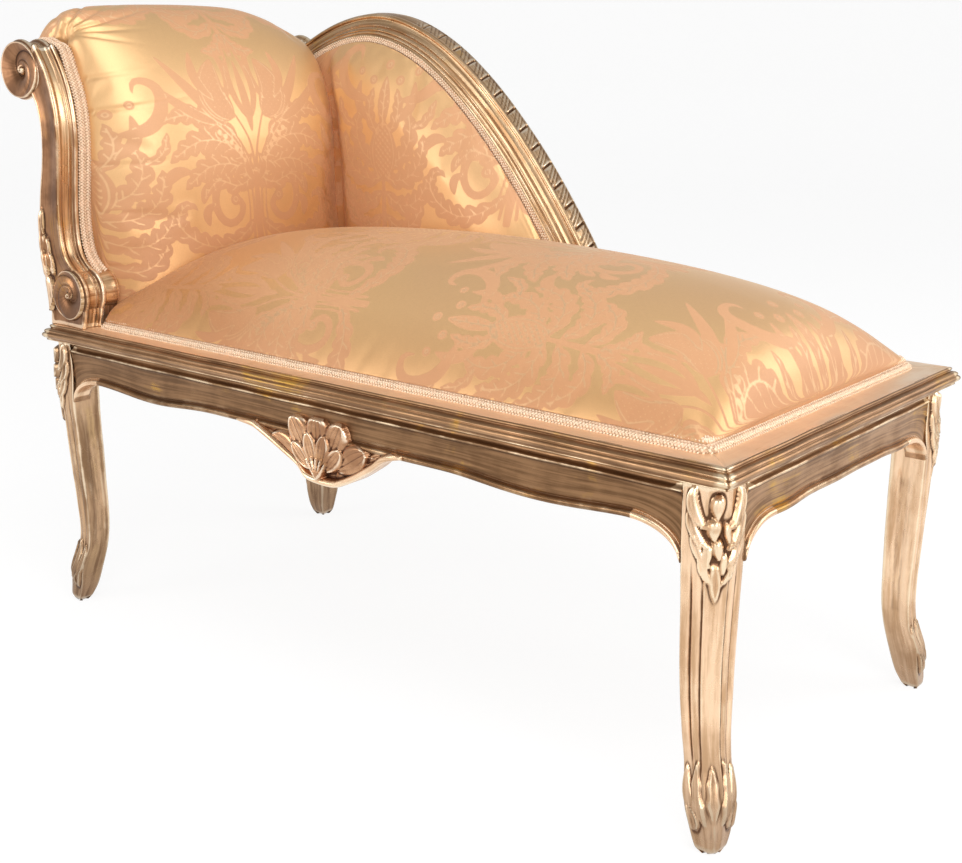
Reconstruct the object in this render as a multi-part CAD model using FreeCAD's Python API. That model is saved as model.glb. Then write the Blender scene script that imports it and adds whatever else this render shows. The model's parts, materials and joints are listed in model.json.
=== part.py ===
import FreeCAD, Part
import math
import os

# A small gilded chaise longue in the Louis XV manner, in millimetres.
# Z = 0 is the floor. X runs from the head end to the foot end and Y from the open front to the back panel.
# The pieces are laid out about the middle of the seat frame, and placed about the whole object's middle at the end.

# Seat frame
seat_height = 430.0        # floor to the flat top of the margin boards
frame_length = 1112.0      # over the flat tops of the boards, head to foot
frame_depth = 543.0        # over the flat tops of the boards, front to back
board_thickness = 22.0
board_width = 75.0         # each mitred margin board
edge_overhang = 10.0       # how far the boards' moulded edge swells past their flat top
edge_corner_radius = 12.0
rail_height = 54.0         # below the boards
rail_thickness = 26.0
rail_setback = 3.0         # rail face behind the flat top's edge
rail_hollow = 4.5          # depth of the cove under the boards
rail_bead = 2.5            # how proud the bead along the lower edge is
ear_drop = 32.0            # how far a rail's lower edge turns down to meet its leg
ear_length = 74.0
# The turn of that edge: share of the ear's length from the leg, and share of its drop
ear_rows = [(0.0, 1.0), (0.05, 0.62), (0.16, 0.38), (0.36, 0.17), (0.62, 0.05), (1.0, 0.0)]
tenon_length = 22.0
tenon_thickness = 9.0
tenon_height = 32.0
joint_clearance = 0.2

# Cabriole legs, from the floor up: share of the leg's height, side of the squarish section,
# and how far the section's centre stands in from the foot end's edge and from the front or back edge
leg_block = 46.0           # square block at the top that takes the rails' tenons
leg_block_inset_x = 27.0
leg_block_inset_y = 26.0
head_leg_shift = 12.0      # the head end's legs stand this much nearer to their edge
leg_bands = 14
leg_lap = 1.0              # how far the shaft runs up into the block
leg_band_share = 0.38      # rounded band down the outer corner, as a share of the section's side
leg_band_facets = 4
leg_channel = 2.0          # depth of the hollow beside that band
leg_path = [
    (0.00, 0.46, -19.0, -11.5),
    (0.02, 0.56, -18.5, -10.5),
    (0.06, 0.72, -16.0, -7.0),
    (0.135, 0.84, -11.5, -4.0),
    (0.23, 0.79, -3.0, 4.0),
    (0.32, 0.82, 1.0, 5.0),
    (0.50, 0.90, 1.5, 2.0),
    (0.67, 0.96, 0.0, 0.0),
    (0.78, 1.00, 0.0, 0.0),
]
knee_swell = 9.0           # how proud the carved knee stands of the leg's block
knee_height = 62.0
knee_facets = 8
knee_rows = [(0.0, -0.9, 0.62), (0.3, 0.7, 0.92), (0.6, 1.0, 1.0), (0.85, 0.6, 0.90), (1.0, -0.4, 0.68)]

# Carved shell under the middle of the front rail
shell_width = 264.0
shell_drop = 56.0          # below the rail's lower edge
shell_rise = 24.0          # up the rail's face
shell_offset = -19.0       # centre of the shell, along the rail
shell_ribs = 5
rib_facets = 4
shell_facets = 12          # along each half of the plate's outline
# The fan of ribs from its stem up: share of its height, its width, and how far it stands off the rail's face
shell_rows = [(0.0, 18.0, 2.0), (0.35, 30.0, 4.0), (0.75, 122.0, 3.5), (1.0, 156.0, 1.5)]
rib_roundness = 0.30       # a rib's height as a share of its width
# Lower outline of the plate: share of its half width from the middle, and share of its drop
shell_outline = [(1.0, 0.0), (0.84, 0.04), (0.58, 0.27), (0.40, 0.48), (0.21, 0.70), (0.13, 0.93)]
shell_let_in = 6.0         # how deep its crown is let into the rail's face

# Head end: two S-shaped stiles with a volute at the top and one at the base
head_rise = 394.0          # boards' top to the top of the stiles
stile_depth = 62.0         # along Y
stile_show = 36.0          # moulded width that stays in view beside the upholstery
stile_setback = 3.5        # behind the boards' flat edge
stile_bead = 9.0               # width of the bead along each side of the moulded face
stile_hollow = 3.0             # and depth of the hollow between them
stile_rebate = 4.0
stile_foot_height = 14.0
stile_facets = 22          # along each edge of the S
volute_facets = 28         # round each of its volutes
stile_tenon = 20.0
top_volute_radius = 39.5
top_volute_reach = 25.0    # centre of the top volute past the head edge
base_volute_radius = 36.0
base_volute_out = 47.0
base_volute_up = 47.0
# Front and back edges of a stile: distance from the head edge, and share of the rise
stile_front = [(70.0, 0.0), (77.0, 0.12), (64.0, 0.19), (40.0, 0.25), (33.0, 0.32), (37.0, 0.50),
               (45.0, 0.72), (38.0, 0.83), (25.0, 0.91), (6.0, 0.985)]
stile_back = [(-4.0, 0.0), (-2.0, 0.12), (-10.0, 0.28), (-5.0, 0.46), (6.0, 0.58), (11.0, 0.69),
              (4.0, 0.78), (-14.0, 0.85)]
head_rail_thickness = 17.4
head_rail_height = 45.0
head_crest_height = 54.0
head_crest_round = 10.0
head_crest_drop = 18.0         # top of the head's crest rail below the stiles' tops
head_crest_depth = 72.0

# Back panel frame, on the back boards at the head end
back_run = 635.0           # head edge to the point where the crest rail meets the boards
crest_rise = 427.0
crest_width = 50.0         # across the rail's face
crest_show = 34.0          # moulded part of that width
crest_thickness = 32.5     # at the carved outer edge
crest_slope = 24.0         # how far the moulded face comes forward at its inner edge
crest_rebate = 4.0
crest_facets = 20          # along the arch
crest_shape = [(0.0, 0.88), (0.126, 0.963), (0.291, 1.0), (0.446, 0.934), (0.646, 0.714), (0.828, 0.398), (1.0, 0.0)]
lower_rail_height = 45.0
panel_rebate = 5.5
panel_thickness = 4.0
# The head's outer panel: distance from the head edge, and share of the stiles' rise
head_panel_rows = [(4.0, 0.02), (2.0, 0.14), (-2.0, 0.30), (3.0, 0.46), (12.0, 0.58), (15.0, 0.68), (8.0, 0.77),
                   (-8.0, 0.81)]
head_panel_facets = 12

# Upholstery
cushion_margin_front = 33.0    # bare margin board in front of the cushion's edge
cushion_margin_foot = 40.0
cushion_margin_back = 36.0
cushion_crown = 133.0
cushion_lip = 4.0
# Section of the seat: share of its half width from the middle, and of the crown
crown_shape = [(-1.0, 0.0), (-0.975, 0.14), (-0.93, 0.28), (-0.86, 0.42), (-0.76, 0.55), (-0.62, 0.67), (-0.44, 0.80),
               (-0.22, 0.94), (0.0, 1.0), (0.22, 0.94), (0.44, 0.80), (0.62, 0.67), (0.76, 0.55), (0.86, 0.42),
               (0.93, 0.28), (0.975, 0.14), (1.0, 0.0)]
# Along the seat from the head: share of its length, and of the crown
cushion_rows = [(0.0, 0.66), (0.08, 0.79), (0.20, 0.91), (0.36, 0.98), (0.54, 1.0), (0.74, 0.93), (0.88, 0.80),
                (0.96, 0.56), (1.0, 0.10)]
head_bulge = 88.0              # how far the head pad swells in front of its rows below
# Front of the head pad: distance from the head edge and share of the stiles' rise at rest, then the shares of
# the bulge and of the lift that its section takes there
head_pad_rows = [(64.0, 0.02, 0.90, 0.0), (58.0, 0.16, 0.97, 0.0), (48.0, 0.36, 1.0, 0.0), (46.0, 0.56, 0.99, 0.0),
                 (43.0, 0.76, 0.86, 0.03), (38.0, 0.93, 0.50, 0.40), (2.0, 1.0, 0.10, 1.0), (-40.0, 1.0, 0.0, 0.66),
                 (-60.0, 0.93, 0.0, 0.16)]
# Along the pad from the open front to the back: share of its length, of the bulge and of the lift
head_pad_ends = [(0.0, 0.06, 0.10), (0.03, 0.25, 0.60), (0.10, 0.58, 0.88), (0.24, 0.90, 0.98), (0.50, 1.0, 0.99),
                 (0.76, 1.02, 0.82), (0.90, 1.0, 0.42), (1.0, 0.92, 0.0)]
head_pad_facets = 16           # round its front
head_pad_tuck = 14.0           # how far it reaches down behind the head's crest rail
roll_lift = 46.0               # and over their tops
back_bulge = 30.0
gimp_width = 20.0
gimp_thickness = 4.0
gimp_overlap = 4.5             # how far the seat's braid stands outside the cushion's edge
gimp_rise = 13.0               # height of its upper edge on the cushion
gimp_lean = 3.0                # and how far its outer face leans in
web_width = 50.0
web_thickness = 2.0
web_lap = 30.0                 # of each strap on the frame
web_long_count = 4
web_cross_count = 9
head_web_count = 4
head_cross_count = 3
back_web_count = 4
back_cross_count = 3
web_back_gap = 26.0            # bare strip between the seat's cross straps and the back board's inner edge
web_foot = 8.0                 # how far the upright straps end above the boards
web_head_drop = 10.0           # and below the top of the head's crest rail
hessian_thickness = 1.0
back_pad_inset = [(0.0, 13.0), (0.45, 17.0), (0.80, 30.0), (1.0, 58.0)]   # share of its bulge, inside the moulding
back_pad_facets = 14
soft_gap = 0.4                 # between a soft piece and its neighbours

corner_block_leg = 60.0
corner_block_height = 30.0
outside = 200.0            # well past the model, for cuts
weld = 0.001               # points closer than this are one
small_facets = 3           # in small hollows and roundings
moulding_facets = 5        # in the beads

V = FreeCAD.Vector
UP = V(0, 0, 1)

# Planes worked out from the sizes
foot_x = frame_length / 2
head_x = -frame_length / 2
front_y = -frame_depth / 2
back_y = frame_depth / 2
board_bottom = seat_height - board_thickness
rail_bottom = board_bottom - rail_height
leg_height = board_bottom
stile_outer = back_y - stile_setback
stile_inner = stile_outer - stile_depth
crest_plane = back_y - crest_thickness            # front of the rail at its outer edge
face_front = crest_plane - crest_slope            # front of the moulded face at its inner edge
rebate_plane = face_front + crest_rebate
crest_end_x = head_x + back_run
web_top = seat_height + 2 * web_thickness
seat_pad_start = head_x + head_pad_rows[0][0] + 0.66 * head_bulge     # under the head pad's swelling
pad_base = web_top + hessian_thickness + soft_gap
head_web_x = head_x + 26.0
head_pad_back = head_web_x + 2 * web_thickness + soft_gap
head_overhang = top_volute_reach + top_volute_radius
frame_shift = (head_overhang - edge_overhang) / 2
head_rail_shift = head_leg_shift - 4.0
head_crest_top = head_rise - head_crest_drop      # above the boards
back_web_stop = back_y - board_width - web_back_gap


# Small helpers

def box(x0, x1, y0, y1, z0, z1):
    return Part.makeBox(x1 - x0, y1 - y0, z1 - z0, V(x0, y0, z0))


def bow(a, b, c, count):
    """Points on the arc from a through b to c, in count straight facets."""
    curve = Part.Arc(a, b, c)
    first, last = curve.FirstParameter, curve.LastParameter
    return [curve.value(first + (last - first) * i / count) for i in range(count + 1)]


def closed(points):
    """Closed wire of straight lines through the points, which may repeat where two runs meet."""
    kept = [p for p, before in zip(points, points[-1:] + points) if p.distanceToPoint(before) > weld]
    return Part.makePolygon(kept + [kept[0]])


def spline(points):
    curve = Part.BSplineCurve()
    curve.interpolate(points)
    return curve


def fuse(shapes):
    return shapes[0].multiFuse(shapes[1:]).removeSplitter()


def eased(rows, t):
    """Values at t on a smooth curve through the rows, which are sorted by their first value."""
    i = max(k for k in range(len(rows) - 1) if rows[k][0] <= t or k == 0)
    before, a, b, after = rows[max(i - 1, 0)], rows[i], rows[i + 1], rows[min(i + 2, len(rows) - 1)]
    span = b[0] - a[0]
    u = (t - a[0]) / span
    values = []
    for k in range(1, len(a)):
        leave = span * (b[k] - before[k]) / (b[0] - before[0])
        arrive = span * (after[k] - a[k]) / (after[0] - a[0])
        start = a[k] * (1 + 2 * u) * (1 - u) ** 2 + leave * u * (1 - u) ** 2
        values.append(start + b[k] * u * u * (3 - 2 * u) - arrive * u * u * (1 - u))
    return values


def stations(rows, count):
    """Count + 1 even steps from the first row to the last, each with its eased values."""
    first, last = rows[0][0], rows[-1][0]
    steps = [first + (last - first) * i / count for i in range(count + 1)]
    return [(t, eased(rows, t)) for t in steps]


def banded(wires):
    """Solid through closed wires, ruled from each to the next."""
    return Part.makeLoft(wires, True, True)


def mirror_y(shape):
    return shape.mirror(V(0, 0, 0), V(0, 1, 0))


def prism(points, direction):
    wire = Part.makePolygon(points + [points[0]])
    return Part.Face(wire).extrude(direction)


def along_curve(points, count):
    """Points at even steps on a smooth curve through the points, in count facets."""
    curve = spline(points)
    first, last = curve.FirstParameter, curve.LastParameter
    return [curve.value(first + (last - first) * i / count) for i in range(count + 1)]


def ribbon_wire(outer, inner, count):
    """Closed wire between two open rows of points that run the same way, with count facets along each."""
    return closed(along_curve(outer, count) + along_curve(inner, count)[::-1])


def in_plane(points, y):
    return [V(p.x, y, p.z) for p in points]


# Seat frame: mitred margin boards with a moulded edge

def board_profile():
    """Section across a board: u outwards from the flat top's edge, z up."""
    u0 = -board_width
    t, b = seat_height, board_bottom
    e = edge_overhang
    step = 0.2 * e
    pts = {
        "top": V(0, 0, t), "lip": V(step, 0, t - step), "neck": V(step, 0, t - 3 * step),
        "bead_top": V(0.6 * e, 0, t - 4 * step), "bead": V(e, 0, t - 0.62 * board_thickness),
        "bead_low": V(0.55 * e, 0, b), "under": V(u0, 0, b), "inner": V(u0, 0, t),
    }
    round_off = step * math.sqrt(0.5)
    mid = V(round_off, 0, t - step + round_off)
    lip = bow(pts["top"], mid, pts["lip"], small_facets)
    bead = bow(pts["bead_top"], pts["bead"], pts["bead_low"], moulding_facets)
    return closed([pts["inner"]] + lip + [pts["neck"]] + bead + [pts["under"]])


def board(length, depth, along_x):
    """One mitred board of the ring, at the +Y side (along_x) or the +X side."""
    reach = length + 4 * edge_overhang
    face = Part.Face(board_profile())
    bar = face.extrude(V(0, reach, 0))
    bar.translate(V(0, -reach / 2, 0))
    if along_x:
        bar.rotate(V(0, 0, 0), UP, 90)
        bar.translate(V(0, depth / 2, 0))
    else:
        bar.translate(V(depth / 2, 0, 0))
    out = 3 * edge_overhang
    half_x = frame_length / 2
    half_y = frame_depth / 2
    z0 = board_bottom - 1
    rise = V(0, 0, board_thickness + 2)
    if along_x:
        deep = half_y
        wedge = [V(-half_x - out, half_y + out, z0), V(half_x + out, half_y + out, z0),
                 V(half_x - deep, half_y - deep, z0), V(-half_x + deep, half_y - deep, z0)]
    else:
        deep = half_y
        wedge = [V(half_x + out, -half_y - out, z0), V(half_x + out, half_y + out, z0),
                 V(half_x - deep, half_y - deep, z0), V(half_x - deep, -half_y + deep, z0)]
    return bar.common(prism(wedge, rise))


# Rails: moulded face, lower edge turned down at the ends into the legs

def rail_section(x, drop, face_y):
    """Closed section at x, with its moulded face towards -Y, and its lower edge dropped."""
    t = board_bottom
    b = rail_bottom - drop
    back = face_y + rail_thickness
    h = rail_height
    hollow = rail_hollow
    p = [V(x, back, t), V(x, face_y, t), V(x, face_y + hollow, t - 0.16 * h), V(x, face_y, t - 0.28 * h),
         V(x, face_y + 0.5 * hollow, b + 0.22 * h), V(x, face_y, b + 0.18 * h), V(x, face_y, b), V(x, back, b)]
    cove = V(x, face_y + hollow, t - 0.06 * h)
    bead = V(x, face_y - rail_bead, b + 0.09 * h)
    return closed(p[:1] + bow(p[1], cove, p[2], small_facets) + p[3:5] + bow(p[5], bead, p[6], moulding_facets) + p[7:])


def rail(x0, x1, face_y):
    """Rail between two leg blocks, with a tenon at each end."""
    near = [(x0 + share * ear_length, drop * ear_drop) for share, drop in ear_rows]
    far = [(x1 - share * ear_length, drop * ear_drop) for share, drop in ear_rows[::-1]]
    body = banded([rail_section(x, drop, face_y) for x, drop in near + far])
    return fuse([body, rail_tenon(x0, -1, face_y, 0.0), rail_tenon(x1, 1, face_y, 0.0)])


def rail_tenon(x, side, face_y, grow):
    y = face_y + 0.5 * rail_thickness
    z = board_bottom - 0.5 * rail_height
    far = x + side * (tenon_length + grow)
    lo, hi = min(x, far), max(x, far)
    half_t = 0.5 * tenon_thickness + grow
    half_h = 0.5 * tenon_height + grow
    return box(lo, hi, y - half_t, y + half_t, z - half_h, z + half_h)


def turned(shape):
    """A rail made along X, turned to run along Y with its face towards +X."""
    out = shape.copy()
    out.rotate(V(0, 0, 0), UP, 90)
    return out


def turned_back(shape):
    out = shape.copy()
    out.rotate(V(0, 0, 0), UP, -90)
    return out


# Legs

def leg_section(side_x, side_y, cx, cy, z, side):
    """Section of a leg: a square whose outer corner is a rounded band between two shallow channels."""
    h = 0.5 * side
    cut = leg_band_share * side
    middle = h - cut
    plan = [(-h, -h), (h, -h), (h, -h + 0.4 * middle), (h - leg_channel, 0.4 * middle)]
    for i in range(leg_band_facets + 1):
        turn = 0.5 * math.pi * i / leg_band_facets
        plan.append((middle + cut * math.cos(turn), middle + cut * math.sin(turn)))
    plan += [(0.4 * middle, h - leg_channel), (-h + 0.4 * middle, h), (-h, h)]
    points = [V(cx + side_x * a, cy + side_y * b, z) for a, b in plan]
    return Part.makePolygon(points + [points[0]])


def leg(side_x, side_y):
    """One leg at the corner (side_x, side_y): a cabriole shaft, its block and its carved knee."""
    shift = head_leg_shift if side_x < 0 else 0.0
    bx = foot_x - leg_block_inset_x + shift
    by = back_y - leg_block_inset_y
    cx, cy = side_x * bx, side_y * by
    wires = []
    for share, (scale, in_x, in_y) in stations(leg_path, leg_bands):
        wires.append(leg_section(side_x, side_y, side_x * (bx - in_x), side_y * (by - in_y), share * leg_height,
                                 scale * leg_block))
    wires.append(leg_section(side_x, side_y, cx, cy, rail_bottom + leg_lap, leg_block))
    half = leg_block / 2
    block = box(cx - half, cx + half, cy - half, cy + half, rail_bottom, board_bottom)
    return fuse([banded(wires), block, knee(cx, cy, side_x, side_y)])


def knee(cx, cy, side_x, side_y):
    """Carved swelling on the leg's outer corner, under the boards' edge."""
    diagonal = V(side_x, side_y, 0)
    diagonal.normalize()
    across = V(-diagonal.y, diagonal.x, 0)
    top = board_bottom - 1.5
    low = top - knee_height
    depth = 0.5 * leg_block * math.sqrt(2) - 4.0
    wires = []
    for share, (swell, spread) in stations(knee_rows, 5):
        c = V(cx, cy, low + share * knee_height)
        root = c + diagonal * (0.25 * leg_block)
        side = across * (0.30 * leg_block * spread)
        wires.append(closed(bow(root + side, c + diagonal * (depth + knee_swell * swell), root - side, knee_facets)))
    return banded(wires)


# Carved shell: ribs that fan out of a stem, between two scrolled leaves

def shell_section(z, width, proud):
    """Closed section of the fan of ribs at height z: a row of rounded ribs in front of a flat back."""
    face = front_y + rail_setback
    pitch = width / shell_ribs
    x0 = shell_offset - width / 2
    back = face + shell_let_in
    points = [V(x0, back, z), V(x0, face - proud, z)]
    for i in range(shell_ribs * rib_facets):
        step = (i + 1) / rib_facets
        swell = rib_roundness * pitch * math.sin(math.pi * (step % 1.0))
        points.append(V(x0 + step * pitch, face - proud - swell, z))
    points.append(V(x0 + width, back, z))
    return Part.makePolygon(points + [points[0]])


def shell_crown(grow):
    """Outline of the crown on the rail's face, one rounded tip for each rib."""
    face = front_y + rail_setback
    low = rail_bottom - grow
    half = 0.5 * shell_rows[-1][1] + grow
    rise = shell_rise + grow
    pitch = 2 * half / shell_ribs

    def height(x):
        return rail_bottom + rise * (0.86 - 0.42 * (x / half) ** 2)
    tops = [-half + pitch * i for i in range(shell_ribs + 1)]
    cx = shell_offset
    points = [V(cx + half, face, low), V(cx - half, face, low)]
    for a, b in zip(tops, tops[1:]):
        middle = 0.5 * (a + b)
        points += bow(V(cx + a, face, height(a)), V(cx + middle, face, height(middle) + 0.14 * rise),
                      V(cx + b, face, height(b)), small_facets)
    return closed(points)


def shell():
    """Leafy plate under the rail with a fan of ribs, whose crown is let into the rail's face."""
    face = front_y + rail_setback
    half = shell_width / 2
    cx = shell_offset
    stem = 0.5 * shell_rows[0][1] / half

    left = [V(cx - k * half, face, rail_bottom - share * shell_drop) for k, share in shell_outline + [(stem, 1.0)]]
    right = [V(2 * cx - p.x, p.y, p.z) for p in left]
    outline = ribbon_wire(left, right, shell_facets)
    plate = Part.Face(outline).extrude(V(0, rail_thickness, 0))
    low = rail_bottom - shell_drop
    height = shell_drop + shell_rise
    ribs = banded([shell_section(low + share * height, width, proud) for share, width, proud in shell_rows])
    reach = shell_let_in + rail_setback + edge_overhang
    back = V(0, shell_let_in - reach, 0)
    crown = Part.Face(shell_crown(0.0)).extrude(V(0, reach, 0)).translated(back)
    leaf = Part.Face(outline).extrude(V(0, reach, 0)).translated(back)
    return fuse([plate, ribs.common(leaf.fuse(crown))])


def shell_seat():
    """Pocket in the rail's moulded face for the shell's crown."""
    reach = shell_let_in + rail_setback + edge_overhang
    pocket = Part.Face(shell_crown(joint_clearance)).extrude(V(0, reach, 0))
    return pocket.translated(V(0, shell_let_in - reach, 0))


# Head end

def stile_points(rows, offset):
    return [V(head_x + out - offset, 0, seat_height + share * head_rise) for out, share in rows]


def disc(out, up, radius, y0, y1):
    """Volute: a many-sided disc between two Y planes, its middle out from the head edge and up from the boards."""
    turns = [2 * math.pi * i / volute_facets for i in range(volute_facets)]
    rim = [V(head_x + out + radius * math.cos(t), y0, seat_height + up + radius * math.sin(t)) for t in turns]
    return prism(rim, V(0, y1 - y0, 0))


def stile_slice(y0, y1, inset):
    """Slice of the S between two Y planes, its front edge set back by inset."""
    front = stile_points(stile_front, inset)
    back = stile_points(stile_back, 0.0)
    depth = V(0, y1 - y0, 0)
    plank = Part.Face(ribbon_wire(in_plane(front, y0), in_plane(back, y0), stile_facets)).extrude(depth)
    top = disc(-top_volute_reach, 0.9 * head_rise, top_volute_radius - 0.5 * inset, y0, y1)
    base = disc(base_volute_out, base_volute_up, base_volute_radius - inset, y0, y1)
    foot = box(head_x - 4, head_x + 78, y0, y1, seat_height, seat_height + stile_foot_height)
    return [plank, top, base, foot]


def stile():
    """Front stile: moulded show face, then the rebate that takes the upholstery's edge."""
    y0 = -stile_outer
    y_show = y0 + stile_show
    solids = stile_slice(y0, y0 + stile_bead, 0.0)
    solids += stile_slice(y0 + stile_bead, y_show - stile_bead, stile_hollow)
    solids += stile_slice(y_show - stile_bead, y_show, 0.0)
    solids += stile_slice(y_show, -stile_inner, stile_rebate)
    above = fuse(solids).cut(box(head_x - outside, 0, -back_y, 0, 0, seat_height))
    return fuse([above, stile_peg(0.0)])


def stile_side():
    """The rear stile's outline carried back past the boards, which the back frame butts against."""
    return fuse(stile_slice(stile_inner - 1.0, back_y + edge_overhang, 0.0))


def behind_stile():
    """Space on the outer side of the rear stile, under its volute, where the back frame doesn't go."""
    inside = max(out for out, share in stile_back) + 1.0
    top = seat_height + 0.87 * head_rise
    return box(head_x - outside, head_x + inside, 0, back_y + outside, 0, top)


def stile_peg(grow):
    """Tenon under a stile, through the board and into the leg's block."""
    x = head_x + leg_block_inset_x - head_leg_shift
    y = -back_y + leg_block_inset_y
    half = 0.5 * stile_tenon + grow
    low = board_bottom - 0.5 * stile_tenon - grow
    return box(x - half, x + half, y - half, y + half, low, seat_height)


def head_crest():
    x1 = head_web_x
    x0 = x1 - head_crest_depth
    z1 = seat_height + head_crest_top
    bar = box(x0, x1, -stile_inner, stile_inner, z1 - head_crest_height, z1)
    edges = [e for e in bar.Edges if abs(e.CenterOfMass.z - z1) < 0.01 and abs(e.CenterOfMass.y) < 0.01]
    return bar.makeFillet(head_crest_round, edges)


def head_lower():
    return box(head_web_x - head_rail_thickness, head_web_x, -stile_inner, stile_inner,
               seat_height, seat_height + head_rail_height)


def head_outer_panel():
    """Curved panel that closes the head's outer side, between the stiles."""
    outer = [V(head_x + out, -stile_inner + soft_gap, seat_height + share * head_rise) for out, share in head_panel_rows]
    inner = [V(p.x + panel_thickness, p.y, p.z) for p in outer]
    return Part.Face(ribbon_wire(inner, outer, head_panel_facets)).extrude(V(0, 2 * (stile_inner - soft_gap), 0))


def head_webbing():
    z0 = seat_height + web_foot
    z1 = seat_height + head_crest_top - web_head_drop
    edge = stile_inner - soft_gap
    straps = []
    for y in spread(-edge, edge, head_web_count):
        straps.append(box(head_web_x, head_web_x + web_thickness, y - web_width / 2, y + web_width / 2, z0, z1))
    for z in spread(seat_height + head_rail_height, z1 - head_crest_height, head_cross_count):
        straps.append(box(head_web_x + web_thickness, head_web_x + 2 * web_thickness, -edge, edge,
                          z - web_width / 2, z + web_width / 2))
    return Part.makeCompound(straps)


def head_pad_section(y, bulge, lift):
    """Section of the head pad at y: thin at its back, swelling in front and over the crest rail."""
    def at(out, up):
        return V(head_x + out, y, seat_height + up)
    back = head_pad_back - head_x
    crest_back = head_web_x - head_crest_depth - head_x - soft_gap
    crest_top = head_crest_top + soft_gap
    tuck = 0.84 * head_rise
    front = [at(out + b * bulge, share * head_rise + up * lift) for out, share, b, up in head_pad_rows]
    start = at(back, head_pad_rows[0][1] * head_rise)
    end = at(crest_back - head_pad_tuck, tuck)
    behind = [end, at(crest_back, tuck), at(crest_back, crest_top), at(back, crest_top), start]
    return closed(along_curve(front, head_pad_facets) + behind)


def head_pad():
    near = -stile_inner + soft_gap
    length = 2 * (stile_inner - soft_gap)
    wires = [head_pad_section(near + share * length, b * head_bulge, up * roll_lift) for share, b, up in head_pad_ends]
    return banded(wires)


def head_gimp():
    """Braid down the front stile's rebate."""
    front = stile_points(stile_front[2:], stile_rebate)
    outer = stile_points(stile_front[2:], stile_rebate - gimp_thickness)
    y0 = -stile_inner - gimp_width - gimp_overlap
    return Part.Face(ribbon_wire(in_plane(outer, y0), in_plane(front, y0), stile_facets)).extrude(V(0, gimp_width, 0))


# Back panel

def crest_points(inset):
    """Points of the crest rail's outer edge, moved inwards by inset."""
    base = spline([V(head_x + a * back_run, 0, seat_height + b * crest_rise) for a, b in crest_shape])
    count = 15
    first, last = base.FirstParameter, base.LastParameter
    points = []
    for i in range(count):
        t = first + (last - first) * i / (count - 1)
        p = base.value(t)
        tangent = base.tangent(t)[0]
        points.append(V(p.x - tangent.z * -inset, 0, p.z - tangent.x * inset))
    return points


def crest_band(s0, s1, y0, y1):
    wire = ribbon_wire(in_plane(crest_points(s0), y0), in_plane(crest_points(s1), y0), crest_facets)
    return Part.Face(wire).extrude(V(0, y1 - y0, 0))


def crest_wedge(s_front, s_back, s_inner, y_front, y_back):
    a = ribbon_wire(in_plane(crest_points(s_back), y_back), in_plane(crest_points(s_inner), y_back), crest_facets)
    b = ribbon_wire(in_plane(crest_points(s_front), y_front), in_plane(crest_points(s_inner), y_front), crest_facets)
    return Part.makeLoft([a, b], True, True)


def below_seat_cut(shape):
    return shape.cut(box(head_x - outside, foot_x, 0, back_y + outside, 0, seat_height))


def crest_rail():
    step = crest_slope / 4
    show = crest_show
    solids = [
        crest_band(0.0, crest_width, crest_plane, back_y - panel_rebate),
        crest_band(0.0, 0.76 * crest_width, back_y - panel_rebate, back_y),
        crest_band(show, crest_width, rebate_plane, crest_plane),
        crest_wedge(0.12 * show, 0.0, show, crest_plane - step, crest_plane),
        crest_wedge(0.45 * show, 0.20 * show, show, crest_plane - 2.6 * step, crest_plane - step),
        crest_wedge(0.85 * show, 0.55 * show, show, face_front, crest_plane - 2.6 * step),
    ]
    return below_seat_cut(fuse(solids))


def inner_region(inset, y0, y1, left, bottom):
    """Solid inside the arch, moved in from its outer edge, right of left and above bottom."""
    points = in_plane(crest_points(inset), y0)
    start, end = points[0], points[-1]
    low = seat_height - outside
    wire = closed(along_curve(points, crest_facets) + [V(end.x, y0, low), V(start.x, y0, low)])
    body = Part.Face(wire).extrude(V(0, y1 - y0, 0))
    return body.common(box(left, crest_end_x + 100, y0 - 1, y1 + 1, bottom, seat_height + 2 * crest_rise))


def back_lower_rail(stile_stop):
    bar = box(head_x, crest_end_x, rebate_plane, back_y - panel_rebate, seat_height, seat_height + lower_rail_height)
    inside = inner_region(crest_width, rebate_plane - 1, back_y, head_x, seat_height)
    return bar.common(inside).cut(stile_stop)


def back_left():
    """Where the back's upholstery starts, just clear of the stile's base volute."""
    return head_x + base_volute_out + base_volute_radius + soft_gap


def back_pad():
    """Crowned pad: lofted from the arch at its base to smaller arches in front."""
    base_y = rebate_plane - 2 * web_thickness - hessian_thickness - soft_gap
    left = back_left()
    bottom = pad_base
    wires = []
    for share, inset in back_pad_inset:
        y = base_y - share * back_bulge
        wires.append(pad_outline(crest_show + inset, y, left, bottom))
    return banded(wires).cut(head_pad().translated(V(soft_gap, 0, 0)))


def pad_outline(inset, y, left, bottom):
    """Closed outline of three straight sides and the arch, between left and bottom."""
    curve = spline(in_plane(crest_points(inset), y))
    first, last = curve.FirstParameter, curve.LastParameter
    t0 = parameter_where(curve, first, last, lambda p: p.x - left)
    t1 = parameter_where(curve, first, last, lambda p: bottom - p.z, falling=True)
    top = [curve.value(t0 + (t1 - t0) * i / back_pad_facets) for i in range(back_pad_facets + 1)]
    return closed(top + [V(left, y, bottom)])


def parameter_where(curve, first, last, test, falling=False):
    """Parameter at which test changes sign, found by halving. Falling starts from the far end."""
    lo, hi = first, last
    if falling:
        lo = first + 0.5 * (last - first)
    for _ in range(40):
        mid = 0.5 * (lo + hi)
        if test(curve.value(mid)) < 0:
            lo = mid
        else:
            hi = mid
    return 0.5 * (lo + hi)


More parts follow.
